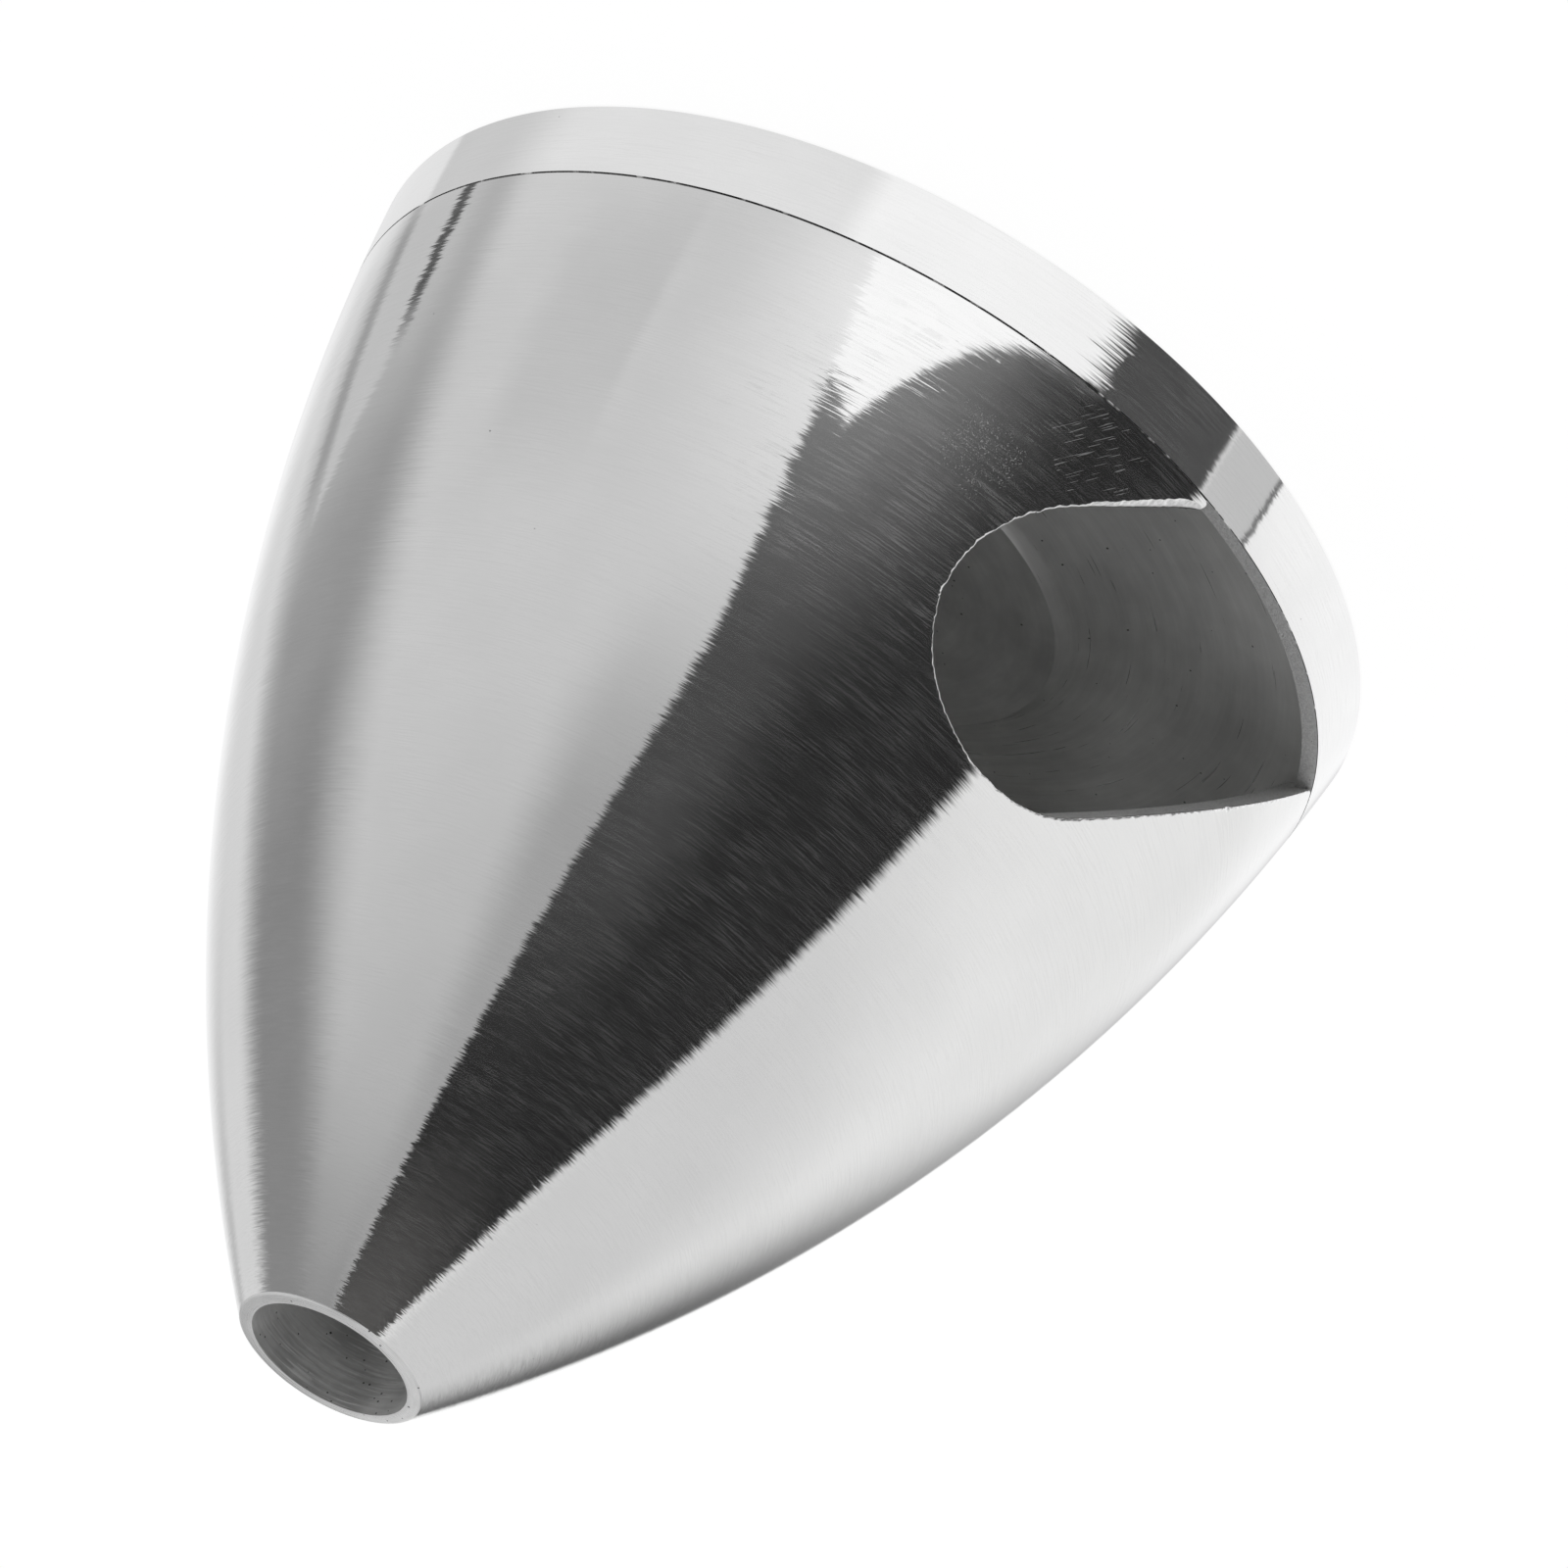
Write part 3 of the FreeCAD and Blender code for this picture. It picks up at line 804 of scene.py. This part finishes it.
def slot_outline(outline, windows):
    """Points (place, outward direction, edge radius) round a window, seen from the front as (x, z)."""
    slant = windows.slant
    across = Vector((math.cos(slant), -math.sin(slant)))
    along = Vector((math.sin(slant), math.cos(slant)))
    half = windows.width / 2
    centre = Vector((windows.end_offset, SEAM + windows.end_height))
    floor = CONE_LOW.z - CUTTER_DROP
    points = []

    def side(start, end, outward, radii):
        count = max(1, round((end - start).length / EDGE_SPACING))
        for step in range(count):
            way = step / count
            radius = radii[0] + (radii[1] - radii[0]) * way ** 0.6 * (1 - way ** 12)
            points.append((start.lerp(end, way), outward, radius))

    def swing(middle, radius, start, end, inward, edge):
        count = max(6, round(abs(math.radians(end - start)) * radius / EDGE_SPACING))
        for step in range(count):
            angle = math.radians(start + (end - start) * step / count)
            ray = Vector((math.cos(angle), math.sin(angle)))
            points.append((middle + ray * radius, -ray if inward else ray, edge))

    left_top = centre - across * half
    left_bottom = left_top - along * ((left_top.y - floor) / along.y)
    side(left_bottom, left_top, -across, (windows.edge_radius, windows.edge_radius))
    swing(centre, half, 180 - math.degrees(slant), -math.degrees(slant), False, windows.edge_radius)
    right_top = centre + across * half
    arc_height = windows.tip_radius * 3 / 4
    tip_height = SEAM + arc_height - windows.tip_radius * across.y
    right_low = right_top - along * ((right_top.y - tip_height) / along.y)
    side(right_top, right_low, across, (windows.edge_radius, windows.tip_edge_radius))
    tip_centre = right_low + across * windows.tip_radius
    swing(tip_centre, windows.tip_radius, 180 - math.degrees(slant), 270, True, windows.edge_radius)
    tip_low = tip_centre - Vector((0, windows.tip_radius))
    side(tip_low, Vector((tip_low.x, floor)), Vector((1, 0)), (windows.edge_radius, windows.edge_radius))
    points.append((Vector((tip_low.x, floor)), Vector((1, 0)), windows.edge_radius))
    return points


def burr_at(place, windows, seed):
    """How far burrs and nicks move the edge at a place."""
    spot = Vector((place.x, place.y, seed))
    wave = noise.noise(spot / windows.burr_size) + 0.6 * noise.noise(spot * 2.7 / windows.burr_size)
    chip = max(0.0, noise.noise(spot / windows.nick_size + NICK_SHIFT) - 0.25)
    return windows.burr * wave + windows.nick * chip * (1 + noise.noise(spot * 6 / windows.burr_size))


def add_window_cutter(bm, outline, windows, turned_by, seed):
    """Closed tool for one window, whose wall flares out into the rounded edge of the flank."""
    points = slot_outline(outline, windows)

    def depth_place(place, depth):
        """The point (x, y, z) under the place on the flank, at a depth below it."""
        radius = flank_r(outline, max(place.y, CONE_LOW.z - 2 * CUTTER_DROP))
        front = math.sqrt(radius ** 2 - place.x ** 2)
        lean = (place.y - flank_centre(outline).y) / outline.flank_radius
        facing = math.sqrt(1 - lean ** 2) * front / radius
        return Vector((place.x, depth / facing - front, place.y))

    def row_at(swing, rise=None):
        """One row of points at a swing round the rounded edge, or straight on from there to a rise."""
        angle = math.radians(swing)
        row = []
        for place, outward, radius in points:
            burr = burr_at(place, windows, seed)
            offset = radius * (1 - math.cos(angle))
            depth = radius * (1 - math.sin(angle))
            if rise is None:
                offset += burr * math.sin(angle)
            else:
                offset += burr + (depth + rise) * math.tan(angle)
                depth = -rise
            row.append(depth_place(place + outward * offset, depth))
        return row

    rows = [[Vector((place.x, 0, place.y)) for place, outward, radius in points]]
    rows += [row_at(swing) for swing in EDGE_SWINGS]
    rows.append(row_at(EDGE_SWINGS[-1], CUTTER_RISE))
    rows.append([Vector((spot.x, -outline.rear_diameter, spot.z)) for spot in rows[-1]])

    first = len(bm.verts)
    ring = [bm.verts.new(spot) for spot in rows[0]]
    edges = [bm.edges.new(pair) for pair in zip(ring, ring[1:] + ring[:1])]
    bm.faces.new(ring).material_index = CUT
    for index, row in enumerate(rows[1:]):
        grown = bmesh.ops.extrude_edge_only(bm, edges=edges)["geom"]
        verts, edges, faces = [[item for item in grown if isinstance(item, kind)] for kind in
                               (bmesh.types.BMVert, bmesh.types.BMEdge, bmesh.types.BMFace)]
        for face in faces:
            face.material_index = CUT if index == 0 else EDGE
        ring = follow_ring(ring, verts)
        for vert, spot in zip(ring, row):
            vert.co = spot
    bm.faces.new(ring).material_index = CUT
    bm.verts.ensure_lookup_table()
    bmesh.ops.rotate(bm, cent=(0, 0, 0), matrix=Matrix.Rotation(turned_by, 3, "Z"), verts=bm.verts[first:])


def follow_ring(ring, verts):
    """The new vertices in the order of the ring that they were extruded from."""
    new = set(verts)
    return [next(other for edge in vert.link_edges for other in [edge.other_vert(vert)] if other in new)
            for vert in ring]


def carve(piece, cutter, sharp_angle=SHARP_ANGLE):
    """Cuts the tool out of the piece, and marks smooth faces and sharp edges of what is left."""
    modifier = piece.modifiers.new("carving", "BOOLEAN")
    modifier.operation = "DIFFERENCE"
    modifier.solver = "MANIFOLD"
    modifier.object = cutter
    depsgraph = bpy.context.evaluated_depsgraph_get()
    carved = bpy.data.meshes.new_from_object(piece.evaluated_get(depsgraph))
    piece.modifiers.clear()
    bpy.data.objects.remove(cutter)
    bm = bmesh.new()
    bm.from_mesh(carved)
    bmesh.ops.triangulate(bm, faces=[face for face in bm.faces if len(face.verts) > 4])
    mark_sharp(bm, sharp_angle)
    bm.to_mesh(carved)
    bm.free()
    piece.data = carved


def true_normals(piece, outline, lean=0.0):
    """Gives the flank the normals of its arc, leant down by an angle, so that a cut leaves no trace."""
    mesh = piece.data
    centre = flank_centre(outline)
    normals = [Vector((0, 0, 0))] * len(mesh.loops)
    for face in mesh.polygons:
        if face.material_index != POLISHED:
            continue
        for loop in face.loop_indices:
            spot = mesh.vertices[mesh.loops[loop].vertex_index].co
            tilt = math.asin((spot.z - centre.y) / outline.flank_radius) - lean
            out = Vector((spot.x, spot.y, 0)).normalized() * math.cos(tilt)
            normals[loop] = Vector((out.x, out.y, math.sin(tilt)))
    mesh.normals_split_custom_set(normals)


class SPINNER_OT_nose_cone(bpy.types.Operator):
    """Build the polished cone with its blade windows"""
    bl_idname = "spinner.nose_cone"
    bl_label = "Nose Cone"

    def execute(self, context):
        outline = context.scene.spinner_outline
        windows = context.scene.spinner_windows
        materials = piece_materials(context.scene.spinner_finish)
        bm = bmesh.new()
        add_turned(bm, cone_outlines(outline, context.scene.spinner_fasteners), outline.steps)
        close_up(bm)
        cone = make_piece(bm, "polished_cone", materials)
        bm = bmesh.new()
        for number in range(windows.count):
            add_window_cutter(bm, outline, windows, FULL_TURN / windows.count * number, 7.0 * number)
        bmesh.ops.recalc_face_normals(bm, faces=bm.faces)
        carve(cone, make_piece(bm, "window_cutter", materials))
        true_normals(cone, outline)
        enrol(cone, "nose_cone")
        return {"FINISHED"}


# Back plate

def plate_outlines(outline):
    """The plate's closed outline, in stretches of one finish each."""
    seam_r = flank_r(outline, SEAM)
    recess = seam_r - outline.ledge
    boss = outline.boss_diameter / 2
    channel_out = (recess, SEAM - outline.recess_depth)
    channel_in = (boss + outline.boss_break, SEAM - outline.boss_break)
    middle = (channel_out[1] + channel_in[1]) / 2
    rear = flank_r(outline, outline.rear_break)
    bore = SHAFT_BORE_RADIUS
    bore_break = outline.bore_break
    flank = flank_points(outline, outline.rear_break, SEAM - outline.plate_break, BAND_ROWS)
    return [
        (POLISHED, [(rear - outline.rear_break, 0), flank[0]]),
        (POLISHED, flank),
        (SEAM_EDGE, [flank[-1], (seam_r - outline.plate_break, SEAM)]),
        (LEDGE, [(seam_r - outline.plate_break, SEAM), (recess, SEAM), channel_out]),
        (INSIDE, bowed_points(channel_out, channel_in, middle - outline.plate_floor, CHANNEL_ROWS)),
        (INSIDE, [channel_in, (boss, SEAM)]),
        (BOSS, straight_points((boss, SEAM), (bore + bore_break, SEAM), BOSS_ROWS)),
        (BORE, [(bore + bore_break, SEAM), (bore, SEAM - bore_break), (bore, bore_break),
                (bore + bore_break, 0)]),
        (RING, straight_points((bore + bore_break, 0), (rear - outline.rear_break, 0), BAND_ROWS)),
    ]


class SPINNER_OT_back_plate(bpy.types.Operator):
    """Build the dished back plate"""
    bl_idname = "spinner.back_plate"
    bl_label = "Back Plate"

    def execute(self, context):
        outline = context.scene.spinner_outline
        bm = bmesh.new()
        add_turned(bm, plate_outlines(outline), outline.steps)
        close_up(bm)
        plate = make_piece(bm, "dished_plate", piece_materials(context.scene.spinner_finish, 0.35))
        true_normals(plate, outline, outline.band_lean)
        enrol(plate, "back_plate")
        return {"FINISHED"}


# Bolt, washer and nut

def cut_thread(bm, radius, low, high, pitch, share_of_pitch):
    """Winds a thread into the round faces of a given radius. Its depth fades out at both ends."""
    depth = pitch * share_of_pitch

    def groove(way_round, height):
        phase = (height / pitch - way_round) % 1
        fade = min(1.0, (height - low) / pitch, (high - height) / pitch)
        return depth * fade * min(1.0, max(0.0, 1.2 * (1 - abs(2 * phase - 1)) - 0.1))
    press(bm, radius, low, high, groove)


def cut_knurls(bm, radius, low, high, count, depth):
    """Presses straight grooves into the round faces of a given radius."""
    def groove(way_round, height):
        return depth * (1 - abs(2 * (way_round * count % 1) - 1))
    press(bm, radius, low, high, groove)


def add_socket_cutter(bm, fasteners, top):
    """Hexagon tool with a pointed end and a flared mouth."""
    radius = fasteners.socket_width / 2 / math.cos(math.radians(30))
    brim = fasteners.socket_break
    height = fasteners.socket_depth - brim
    bmesh.ops.create_cone(bm, cap_ends=True, segments=6, radius1=radius, radius2=radius, depth=height,
                          matrix=Matrix.Translation((0, 0, top - brim - height / 2)))
    bm.faces.ensure_lookup_table()
    upper = max(bm.faces, key=lambda face: face.calc_center_median().z)
    lower = min(bm.faces, key=lambda face: face.calc_center_median().z)
    bmesh.ops.poke(bm, faces=[lower], offset=radius * 0.4)
    grown = bmesh.ops.extrude_face_region(bm, geom=[upper])["geom"]
    verts = [item for item in grown if isinstance(item, bmesh.types.BMVert)]
    bmesh.ops.delete(bm, geom=[upper], context="FACES_ONLY")
    wider = (radius + 2 * brim) / radius
    bmesh.ops.scale(bm, vec=(wider, wider, 1), verts=verts)
    bmesh.ops.translate(bm, vec=(0, 0, 2 * brim), verts=verts)


class SPINNER_OT_cone_bolt(bpy.types.Operator):
    """Build the cap screw in the nose"""
    bl_idname = "spinner.cone_bolt"
    bl_label = "Cone Bolt"

    def execute(self, context):
        fasteners = context.scene.spinner_fasteners
        finish = context.scene.spinner_finish
        head = BOLT_HIGH.x
        shank = fasteners.bolt_diameter / 2
        edge = fasteners.head_break
        top = BOLT_HIGH.z
        seat = WASHER_HIGH.z
        tip = BOLT_LOW.z
        thread_top = tip + fasteners.bolt_thread
        rows = round(fasteners.bolt_thread / fasteners.bolt_pitch * ROWS_PER_THREAD)
        blank = [(0, tip), (shank - edge, tip)]
        blank += straight_points((shank, tip + edge), (shank, thread_top), rows)
        blank += [(shank, seat), (head - edge / 2, seat), (head, seat + edge / 2)]
        blank += [(head, top - edge), (head - edge / 3, top - edge / 3), (head - edge, top), (0, top)]
        material = stained_steel("bolt_steel", finish.bolt_steel, finish, 0.32, 0.1, 0.1 * MM)
        bm = bmesh.new()
        add_turned(bm, [(0, blank)], fasteners.knurls * 4)
        cut_thread(bm, shank, tip, thread_top, fasteners.bolt_pitch, fasteners.thread_depth)
        cut_knurls(bm, head, seat, top, fasteners.knurls, fasteners.knurl_depth)
        close_up(bm)
        bolt = make_piece(bm, "cap_screw", [material])
        bm = bmesh.new()
        add_socket_cutter(bm, fasteners, top)
        bmesh.ops.recalc_face_normals(bm, faces=bm.faces)
        carve(bolt, make_piece(bm, "socket_cutter", [material]), sharp_angle=35.0)
        enrol(bolt, "cone_bolt")
        return {"FINISHED"}


class SPINNER_OT_bolt_washer(bpy.types.Operator):
    """Build the washer under the bolt's head"""
    bl_idname = "spinner.bolt_washer"
    bl_label = "Bolt Washer"

    def execute(self, context):
        fasteners = context.scene.spinner_fasteners
        finish = context.scene.spinner_finish
        bore = fasteners.bolt_diameter / 2 + fasteners.washer_clearance
        outer = WASHER_HIGH.x
        low, high = WASHER_LOW.z, WASHER_HIGH.z
        bm = bmesh.new()
        blank = [(bore, low), (outer, low), (outer, high), (bore, high), (bore, low)]
        add_turned(bm, [(0, blank)], ROUND_STEPS)
        close_up(bm)
        round_edges(bm, [edge for edge in bm.edges if not edge.smooth], fasteners.washer_break)
        mark_sharp(bm, sharp_angle=40.0)
        steel = stained_steel("washer_steel", finish.washer_steel, finish, 0.26, 0.03, 0.2 * MM)
        washer = make_piece(bm, "plated_washer", [steel])
        enrol(washer, "bolt_washer")
        return {"FINISHED"}


class SPINNER_OT_shaft_nut(bpy.types.Operator):
    """Build the nut that holds the propeller"""
    bl_idname = "spinner.shaft_nut"
    bl_label = "Shaft Nut"

    def execute(self, context):
        fasteners = context.scene.spinner_fasteners
        finish = context.scene.spinner_finish
        flat = fasteners.nut_flats / 2
        corner = flat / math.cos(math.radians(30))
        drop = fasteners.nut_drop
        low, high = NUT_LOW.z, NUT_HIGH.z
        step = low + SHAFT_THREAD_DEPTH
        bolt_hole = fasteners.bolt_diameter / 2 + fasteners.thread_clearance
        shaft = SHAFT_THREAD_RADIUS
        rows = round(SHAFT_THREAD_DEPTH / fasteners.nut_pitch * ROWS_PER_NUT_THREAD)
        blank = [(shaft, low), (flat, low), (corner, low + drop), (corner, high - drop), (flat, high),
                 (bolt_hole + drop / 2, high), (bolt_hole, high - drop / 2), (bolt_hole, step)]
        blank += straight_points((shaft, step), (shaft, low), rows)
        bm = bmesh.new()
        add_turned(bm, [(0, blank)], ROUND_STEPS)
        for side in range(6):
            angle = fasteners.nut_turn + math.radians(60 * side)
            facing = Vector((math.cos(angle), math.sin(angle), 0))
            geometry = list(bm.verts) + list(bm.edges) + list(bm.faces)
            cut = bmesh.ops.bisect_plane(bm, geom=geometry, dist=1e-8, plane_co=facing * flat,
                                         plane_no=facing, clear_outer=True)["geom_cut"]
            rim = [item for item in cut if isinstance(item, bmesh.types.BMEdge)]
            bmesh.ops.contextual_create(bm, geom=rim)
        close_up(bm)
        upright = [edge for edge in bm.edges if not edge.smooth
                   and abs(edge.verts[0].co.z - edge.verts[1].co.z) > edge.calc_length() * 0.99
                   and math.hypot(edge.verts[0].co.x, edge.verts[0].co.y) > flat]
        round_edges(bm, upright, fasteners.nut_corner)
        cut_thread(bm, shaft, low, step, fasteners.nut_pitch, fasteners.thread_depth)
        mark_sharp(bm)
        steel = stained_steel("nut_steel", finish.nut_steel, finish, 0.3, 0.06, 0.15 * MM)
        nut = make_piece(bm, "hexagon_nut", [steel])
        enrol(nut, "shaft_nut")
        return {"FINISHED"}


# Stage

def linear(level):
    """Light of a grey level from 0 to 255, as an image shows it."""
    value = level / 255
    return value / 12.92 if value <= 0.04045 else ((value + 0.055) / 1.055) ** 2.4


# Cards and openings of the light tent, as the flank mirrors them, each laid over the ones before.
# Azimuths are from the camera, positive anticlockwise from above, and a side that isn't given
# has no end. A side leans by so many degrees for each degree along it, and bows by amount times
# distance from a centre to a power. Light is a grey level on the metal, or a colour.
TENT_LEVEL = 229                # grey of the tent where no card covers it
OPENING_LEFT = dict(left=11.4, left_bow=(0.1, 9, 1.4))
OPENING_RIGHT = dict(right=-56.8, right_bow=(0.0072, 0, 2))
WALL_END = dict(left=129.5, left_lean=-0.55)
TENT = [
    dict(name="right wall, high", left=-45, low=7, soft=12, light=204),
    dict(name="right wall, low", left=-60, high=-24, soft=5, light=246),
    dict(name="right wall shade", left=-140, right=-158.5, right_lean=0.5, low=69.6, low_lean=0.57,
         soft=8, soft_left=22, soft_right=3, light=100),
    dict(name="left wall", **WALL_END, right=0, soft=7, light=200),
    dict(name="left wall, middle", **WALL_END, right=0, low=22, soft=7, soft_low=22, light=176),
    dict(name="left wall, top", **WALL_END, right=0, low=43, low_bow=(-0.0075, 38, 2),
         soft=7, soft_low=10, light=132),
    dict(name="left wall by the opening", left=33, right=0, low=12, soft=9, light=161),
    dict(name="low card glow", left=30, right=0, high=-3, soft=12, soft_left=22, light=238),
    dict(name="left wall, low", **WALL_END, right=50, high=-20, soft=5, light=208),
    dict(name="cloud", left=82, right=57, low=-17, high=-5, soft=5, soft_right=1.5, light=191),
    dict(name="fold", **WALL_END, right=99.5, right_lean=-0.5, soft=7, soft_right=12, light=133),
    dict(name="fold, middle", **WALL_END, right=99.5, right_lean=-0.5, high=-3,
         soft=7, soft_right=9, light=150),
    dict(name="fold, low", left=140, right=99.5, right_lean=-0.5, high=-16, soft=7, soft_right=8, light=187),
    dict(name="far wall", right=129.5, right_lean=-0.55, soft=8, light=210),
    dict(name="far wall end", right=158, high=-16, soft=10, light=238),
    dict(name="far wall shade", right=150, low=-10, soft=6, light=178),
    dict(name="narrow strip", left=123.8, left_lean=-0.5, right=121, high=-50.4, high_lean=0.27,
         soft=0.8, light=191),
    dict(name="groove", left=128.5, left_lean=-0.5, right=124.4, right_lean=-0.5, high=-17,
         soft=1.5, light=156),
    dict(name="dark strip", left=122.4, right=118.9, low=-26, high=-19, soft=0.7, soft_high=1.5, light=85),
    dict(name="low card, left", right=17, high=-18, high_lean=-0.062, soft=1.5, soft_right=3, light=225),
    dict(name="low card, far left", left=139, right=108, high=-18, high_lean=-0.062, soft=1.5,
         soft_right=10, light=200),
    dict(name="opening", **OPENING_LEFT, **OPENING_RIGHT, high=80,
         soft=1.2, soft_right=2.0, soft_high=14, light=40),
    dict(name="opening, middle", **OPENING_LEFT, right=-9, high=28,
         soft=1.2, soft_right=14, soft_high=12, light=70),
    dict(name="opening, lit side", **OPENING_LEFT, right=-10, high=-3,
         soft=1.2, soft_right=26, soft_high=13, light=134),
    dict(name="opening, top", **OPENING_LEFT, **OPENING_RIGHT, low=45,
         soft=1.2, soft_right=2, soft_low=9, light=(84, 83, 82)),
    dict(name="opening, corner", left=-45, right=-60, low=-20.5, high=-15, soft=1.0, soft_left=4, light=40),
    dict(name="opening, below", left=-28, right=-60.5, high=-20.5, soft=1.0, soft_left=2, light=74),
    dict(name="side strip", left=-61, right=-76, high=-21, soft=0.8, light=192),
    dict(name="side strip edge", left=-75.5, right=-77, high=-21, soft=0.5, light=110),
    dict(name="low card", left=9.3, right=-28.5, high=-17.2, high_bow=(0.000353, -31, 2.78),
         soft=0.2, soft_right=3, light=251),
    dict(name="low card, end", left=12.2, left_bow=(0.1, 9, 1.4), right=9.1, high=-3.4, high_lean=-0.34,
         soft=0.2, soft_left=1.0, light=251),
    dict(name="low card, near", left=29, right=-28.5, high=-19, soft=1.0, soft_left=4,
         soft_right=3, light=245),
]


def panel_mask(nodes, azimuth, elevation, card):
    """1 inside one card of the tent, 0 outside, with soft edges."""
    def edge(key, along):
        place = float(card[key])
        if key + "_lean" in card:
            place = nodes.plus(nodes.times(along, card[key + "_lean"]), place)
        if key + "_bow" in card:
            amount, centre, power = card[key + "_bow"]
            away = nodes.math("ABSOLUTE", nodes.minus(along, float(centre)))
            place = nodes.plus(nodes.times(nodes.math("POWER", away, float(power)), amount), place)
        return place

    mask = 1.0
    for key, across, along in (("left", azimuth, elevation), ("right", azimuth, elevation),
                               ("low", elevation, azimuth), ("high", elevation, azimuth)):
        if key not in card:
            continue
        blur = card.get("soft_" + key, card["soft"])
        ends = (blur, -blur) if key in ("left", "high") else (-blur, blur)
        mask = nodes.times(nodes.step(nodes.minus(across, edge(key, along)), *ends), mask)
    return mask


def build_tent(settings, metal_colour):
    """World of a pale light tent with a dark opening round the camera, plain white behind the object."""
    world = bpy.data.worlds.new("light_tent")
    world.use_nodes = True
    nodes = Tree(world.node_tree)
    ray = nodes.add("TexCoord").outputs["Generated"]
    axes = nodes.parts(nodes.turned(ray, math.radians(90) - settings.camera_azimuth, "Z_AXIS"))
    azimuth = nodes.math("DEGREES", nodes.math("ARCTAN2", axes["Y"], axes["X"]))
    elevation = nodes.math("DEGREES", nodes.math("ARCSINE", axes["Z"]))
    light = (linear(TENT_LEVEL) / metal_colour[0],) * 3
    for card in TENT:
        level = card["light"]
        levels = level if isinstance(level, tuple) else (level, level, level)
        shown = tuple(linear(value) / tone for value, tone in zip(levels, metal_colour))
        light = nodes.mix(panel_mask(nodes, azimuth, elevation, card), light, shown)
    tent, white = [nodes.add("Background", {"Color": colour, "Strength": 1.0}).outputs[0]
                   for colour in (light, (1, 1, 1, 1))]
    seen = nodes.add("LightPath").outputs["Is Camera Ray"]
    nodes.add("OutputWorld", [nodes.add("MixShader", [seen, tent, white]).outputs[0]])
    world.cycles.sampling_method = "NONE"
    bpy.context.scene.world = world


def build_floor(settings, radius):
    """Pale floor with a faint shadow, dark under the object, and clear from below and to other rays."""
    material = bpy.data.materials.new("pale_floor")
    material.use_nodes = True
    nodes = Tree(material.node_tree)
    strength = settings.floor_shadow
    away = nodes.length(nodes.place())
    # Painted shadow: the floor's glow falls to nought under the object's footprint
    glow_with_painted_shadow = nodes.fit(away, radius * 0.9, radius, 0.0, 1.0 - strength * 0.4)
    glow = nodes.add("Emission", {"Color": (1, 1, 1, 1), "Strength": glow_with_painted_shadow}).outputs[0]
    shade = nodes.add("BsdfDiffuse", {"Color": (strength, strength, strength, 1)}).outputs[0]
    both = nodes.add("AddShader", [glow, shade]).outputs[0]
    clear = nodes.add("BsdfTransparent").outputs[0]
    behind = nodes.add("NewGeometry").outputs["Backfacing"]
    seen = nodes.add("LightPath").outputs["Is Camera Ray"]
    unseen = nodes.minus(1.0, nodes.math("MAXIMUM", seen, nodes.math("LESS_THAN", away, radius)))
    cleared = nodes.math("MAXIMUM", behind, unseen)
    nodes.add("OutputMaterial", [nodes.add("MixShader", [cleared, both, clear]).outputs[0]])
    bm = bmesh.new()
    bmesh.ops.create_grid(bm, x_segments=1, y_segments=1, size=settings.floor_size / 2)
    floor = make_piece(bm, "floor", [material])


def build_camera(settings):
    azimuth, elevation = settings.camera_azimuth, settings.camera_elevation
    back = Vector((math.sin(azimuth) * math.cos(elevation), -math.cos(azimuth) * math.cos(elevation),
                   math.sin(elevation)))
    data = bpy.data.cameras.new("camera")
    data.lens = settings.lens
    data.clip_start = 0.01
    camera = bpy.data.objects.new("camera", data)
    camera.rotation_mode = "QUATERNION"
    camera.location = Vector(settings.aim) + back * settings.camera_distance
    facing = (-back).to_track_quat("-Z", "Y")
    camera.rotation_quaternion = facing @ Matrix.Rotation(settings.camera_roll, 3, "Z").to_quaternion()
    bpy.context.scene.collection.objects.link(camera)
    bpy.context.scene.camera = camera


class SPINNER_OT_stage(bpy.types.Operator):
    """Set up the camera, the floor and the light tent"""
    bl_idname = "spinner.stage"
    bl_label = "Stage"

    def execute(self, context):
        settings = context.scene.spinner_stage
        context.scene.view_settings.view_transform = "Standard"
        build_camera(settings)
        build_floor(settings, context.scene.spinner_outline.rear_diameter / 2)
        build_tent(settings, context.scene.spinner_finish.polished)
        return {"FINISHED"}


OPERATORS = [
    SPINNER_OT_nose_cone,
    SPINNER_OT_back_plate,
    SPINNER_OT_cone_bolt,
    SPINNER_OT_bolt_washer,
    SPINNER_OT_shaft_nut,
    SPINNER_OT_stage,
]


class SPINNER_PT_sidebar(bpy.types.Panel):
    """Lists the pieces and their sizes"""
    bl_label = "Propeller Spinner"
    bl_idname = "SPINNER_PT_sidebar"
    bl_space_type = "VIEW_3D"
    bl_region_type = "UI"
    bl_category = "Spinner"

    def draw(self, context):
        for operator in OPERATORS:
            self.layout.operator(operator.bl_idname)
        for name, group in SETTINGS.items():
            box = self.layout.box()
            box.label(text=group.__doc__)
            for key in group.__annotations__:
                box.prop(getattr(context.scene, name), key)


def register():
    for name, group in SETTINGS.items():
        bpy.utils.register_class(group)
        setattr(bpy.types.Scene, name, PointerProperty(type=group))
    for cls in [*OPERATORS, SPINNER_PT_sidebar]:
        bpy.utils.register_class(cls)


def unregister():
    for cls in reversed([*OPERATORS, SPINNER_PT_sidebar]):
        bpy.utils.unregister_class(cls)
    for name, group in reversed(SETTINGS.items()):
        delattr(bpy.types.Scene, name)
        bpy.utils.unregister_class(group)


def main():
    register()
    bpy.ops.spinner.nose_cone()
    bpy.ops.spinner.back_plate()
    bpy.ops.spinner.cone_bolt()
    bpy.ops.spinner.bolt_washer()
    bpy.ops.spinner.shaft_nut()
    bpy.ops.spinner.stage()


if __name__ == "__main__":
    main()
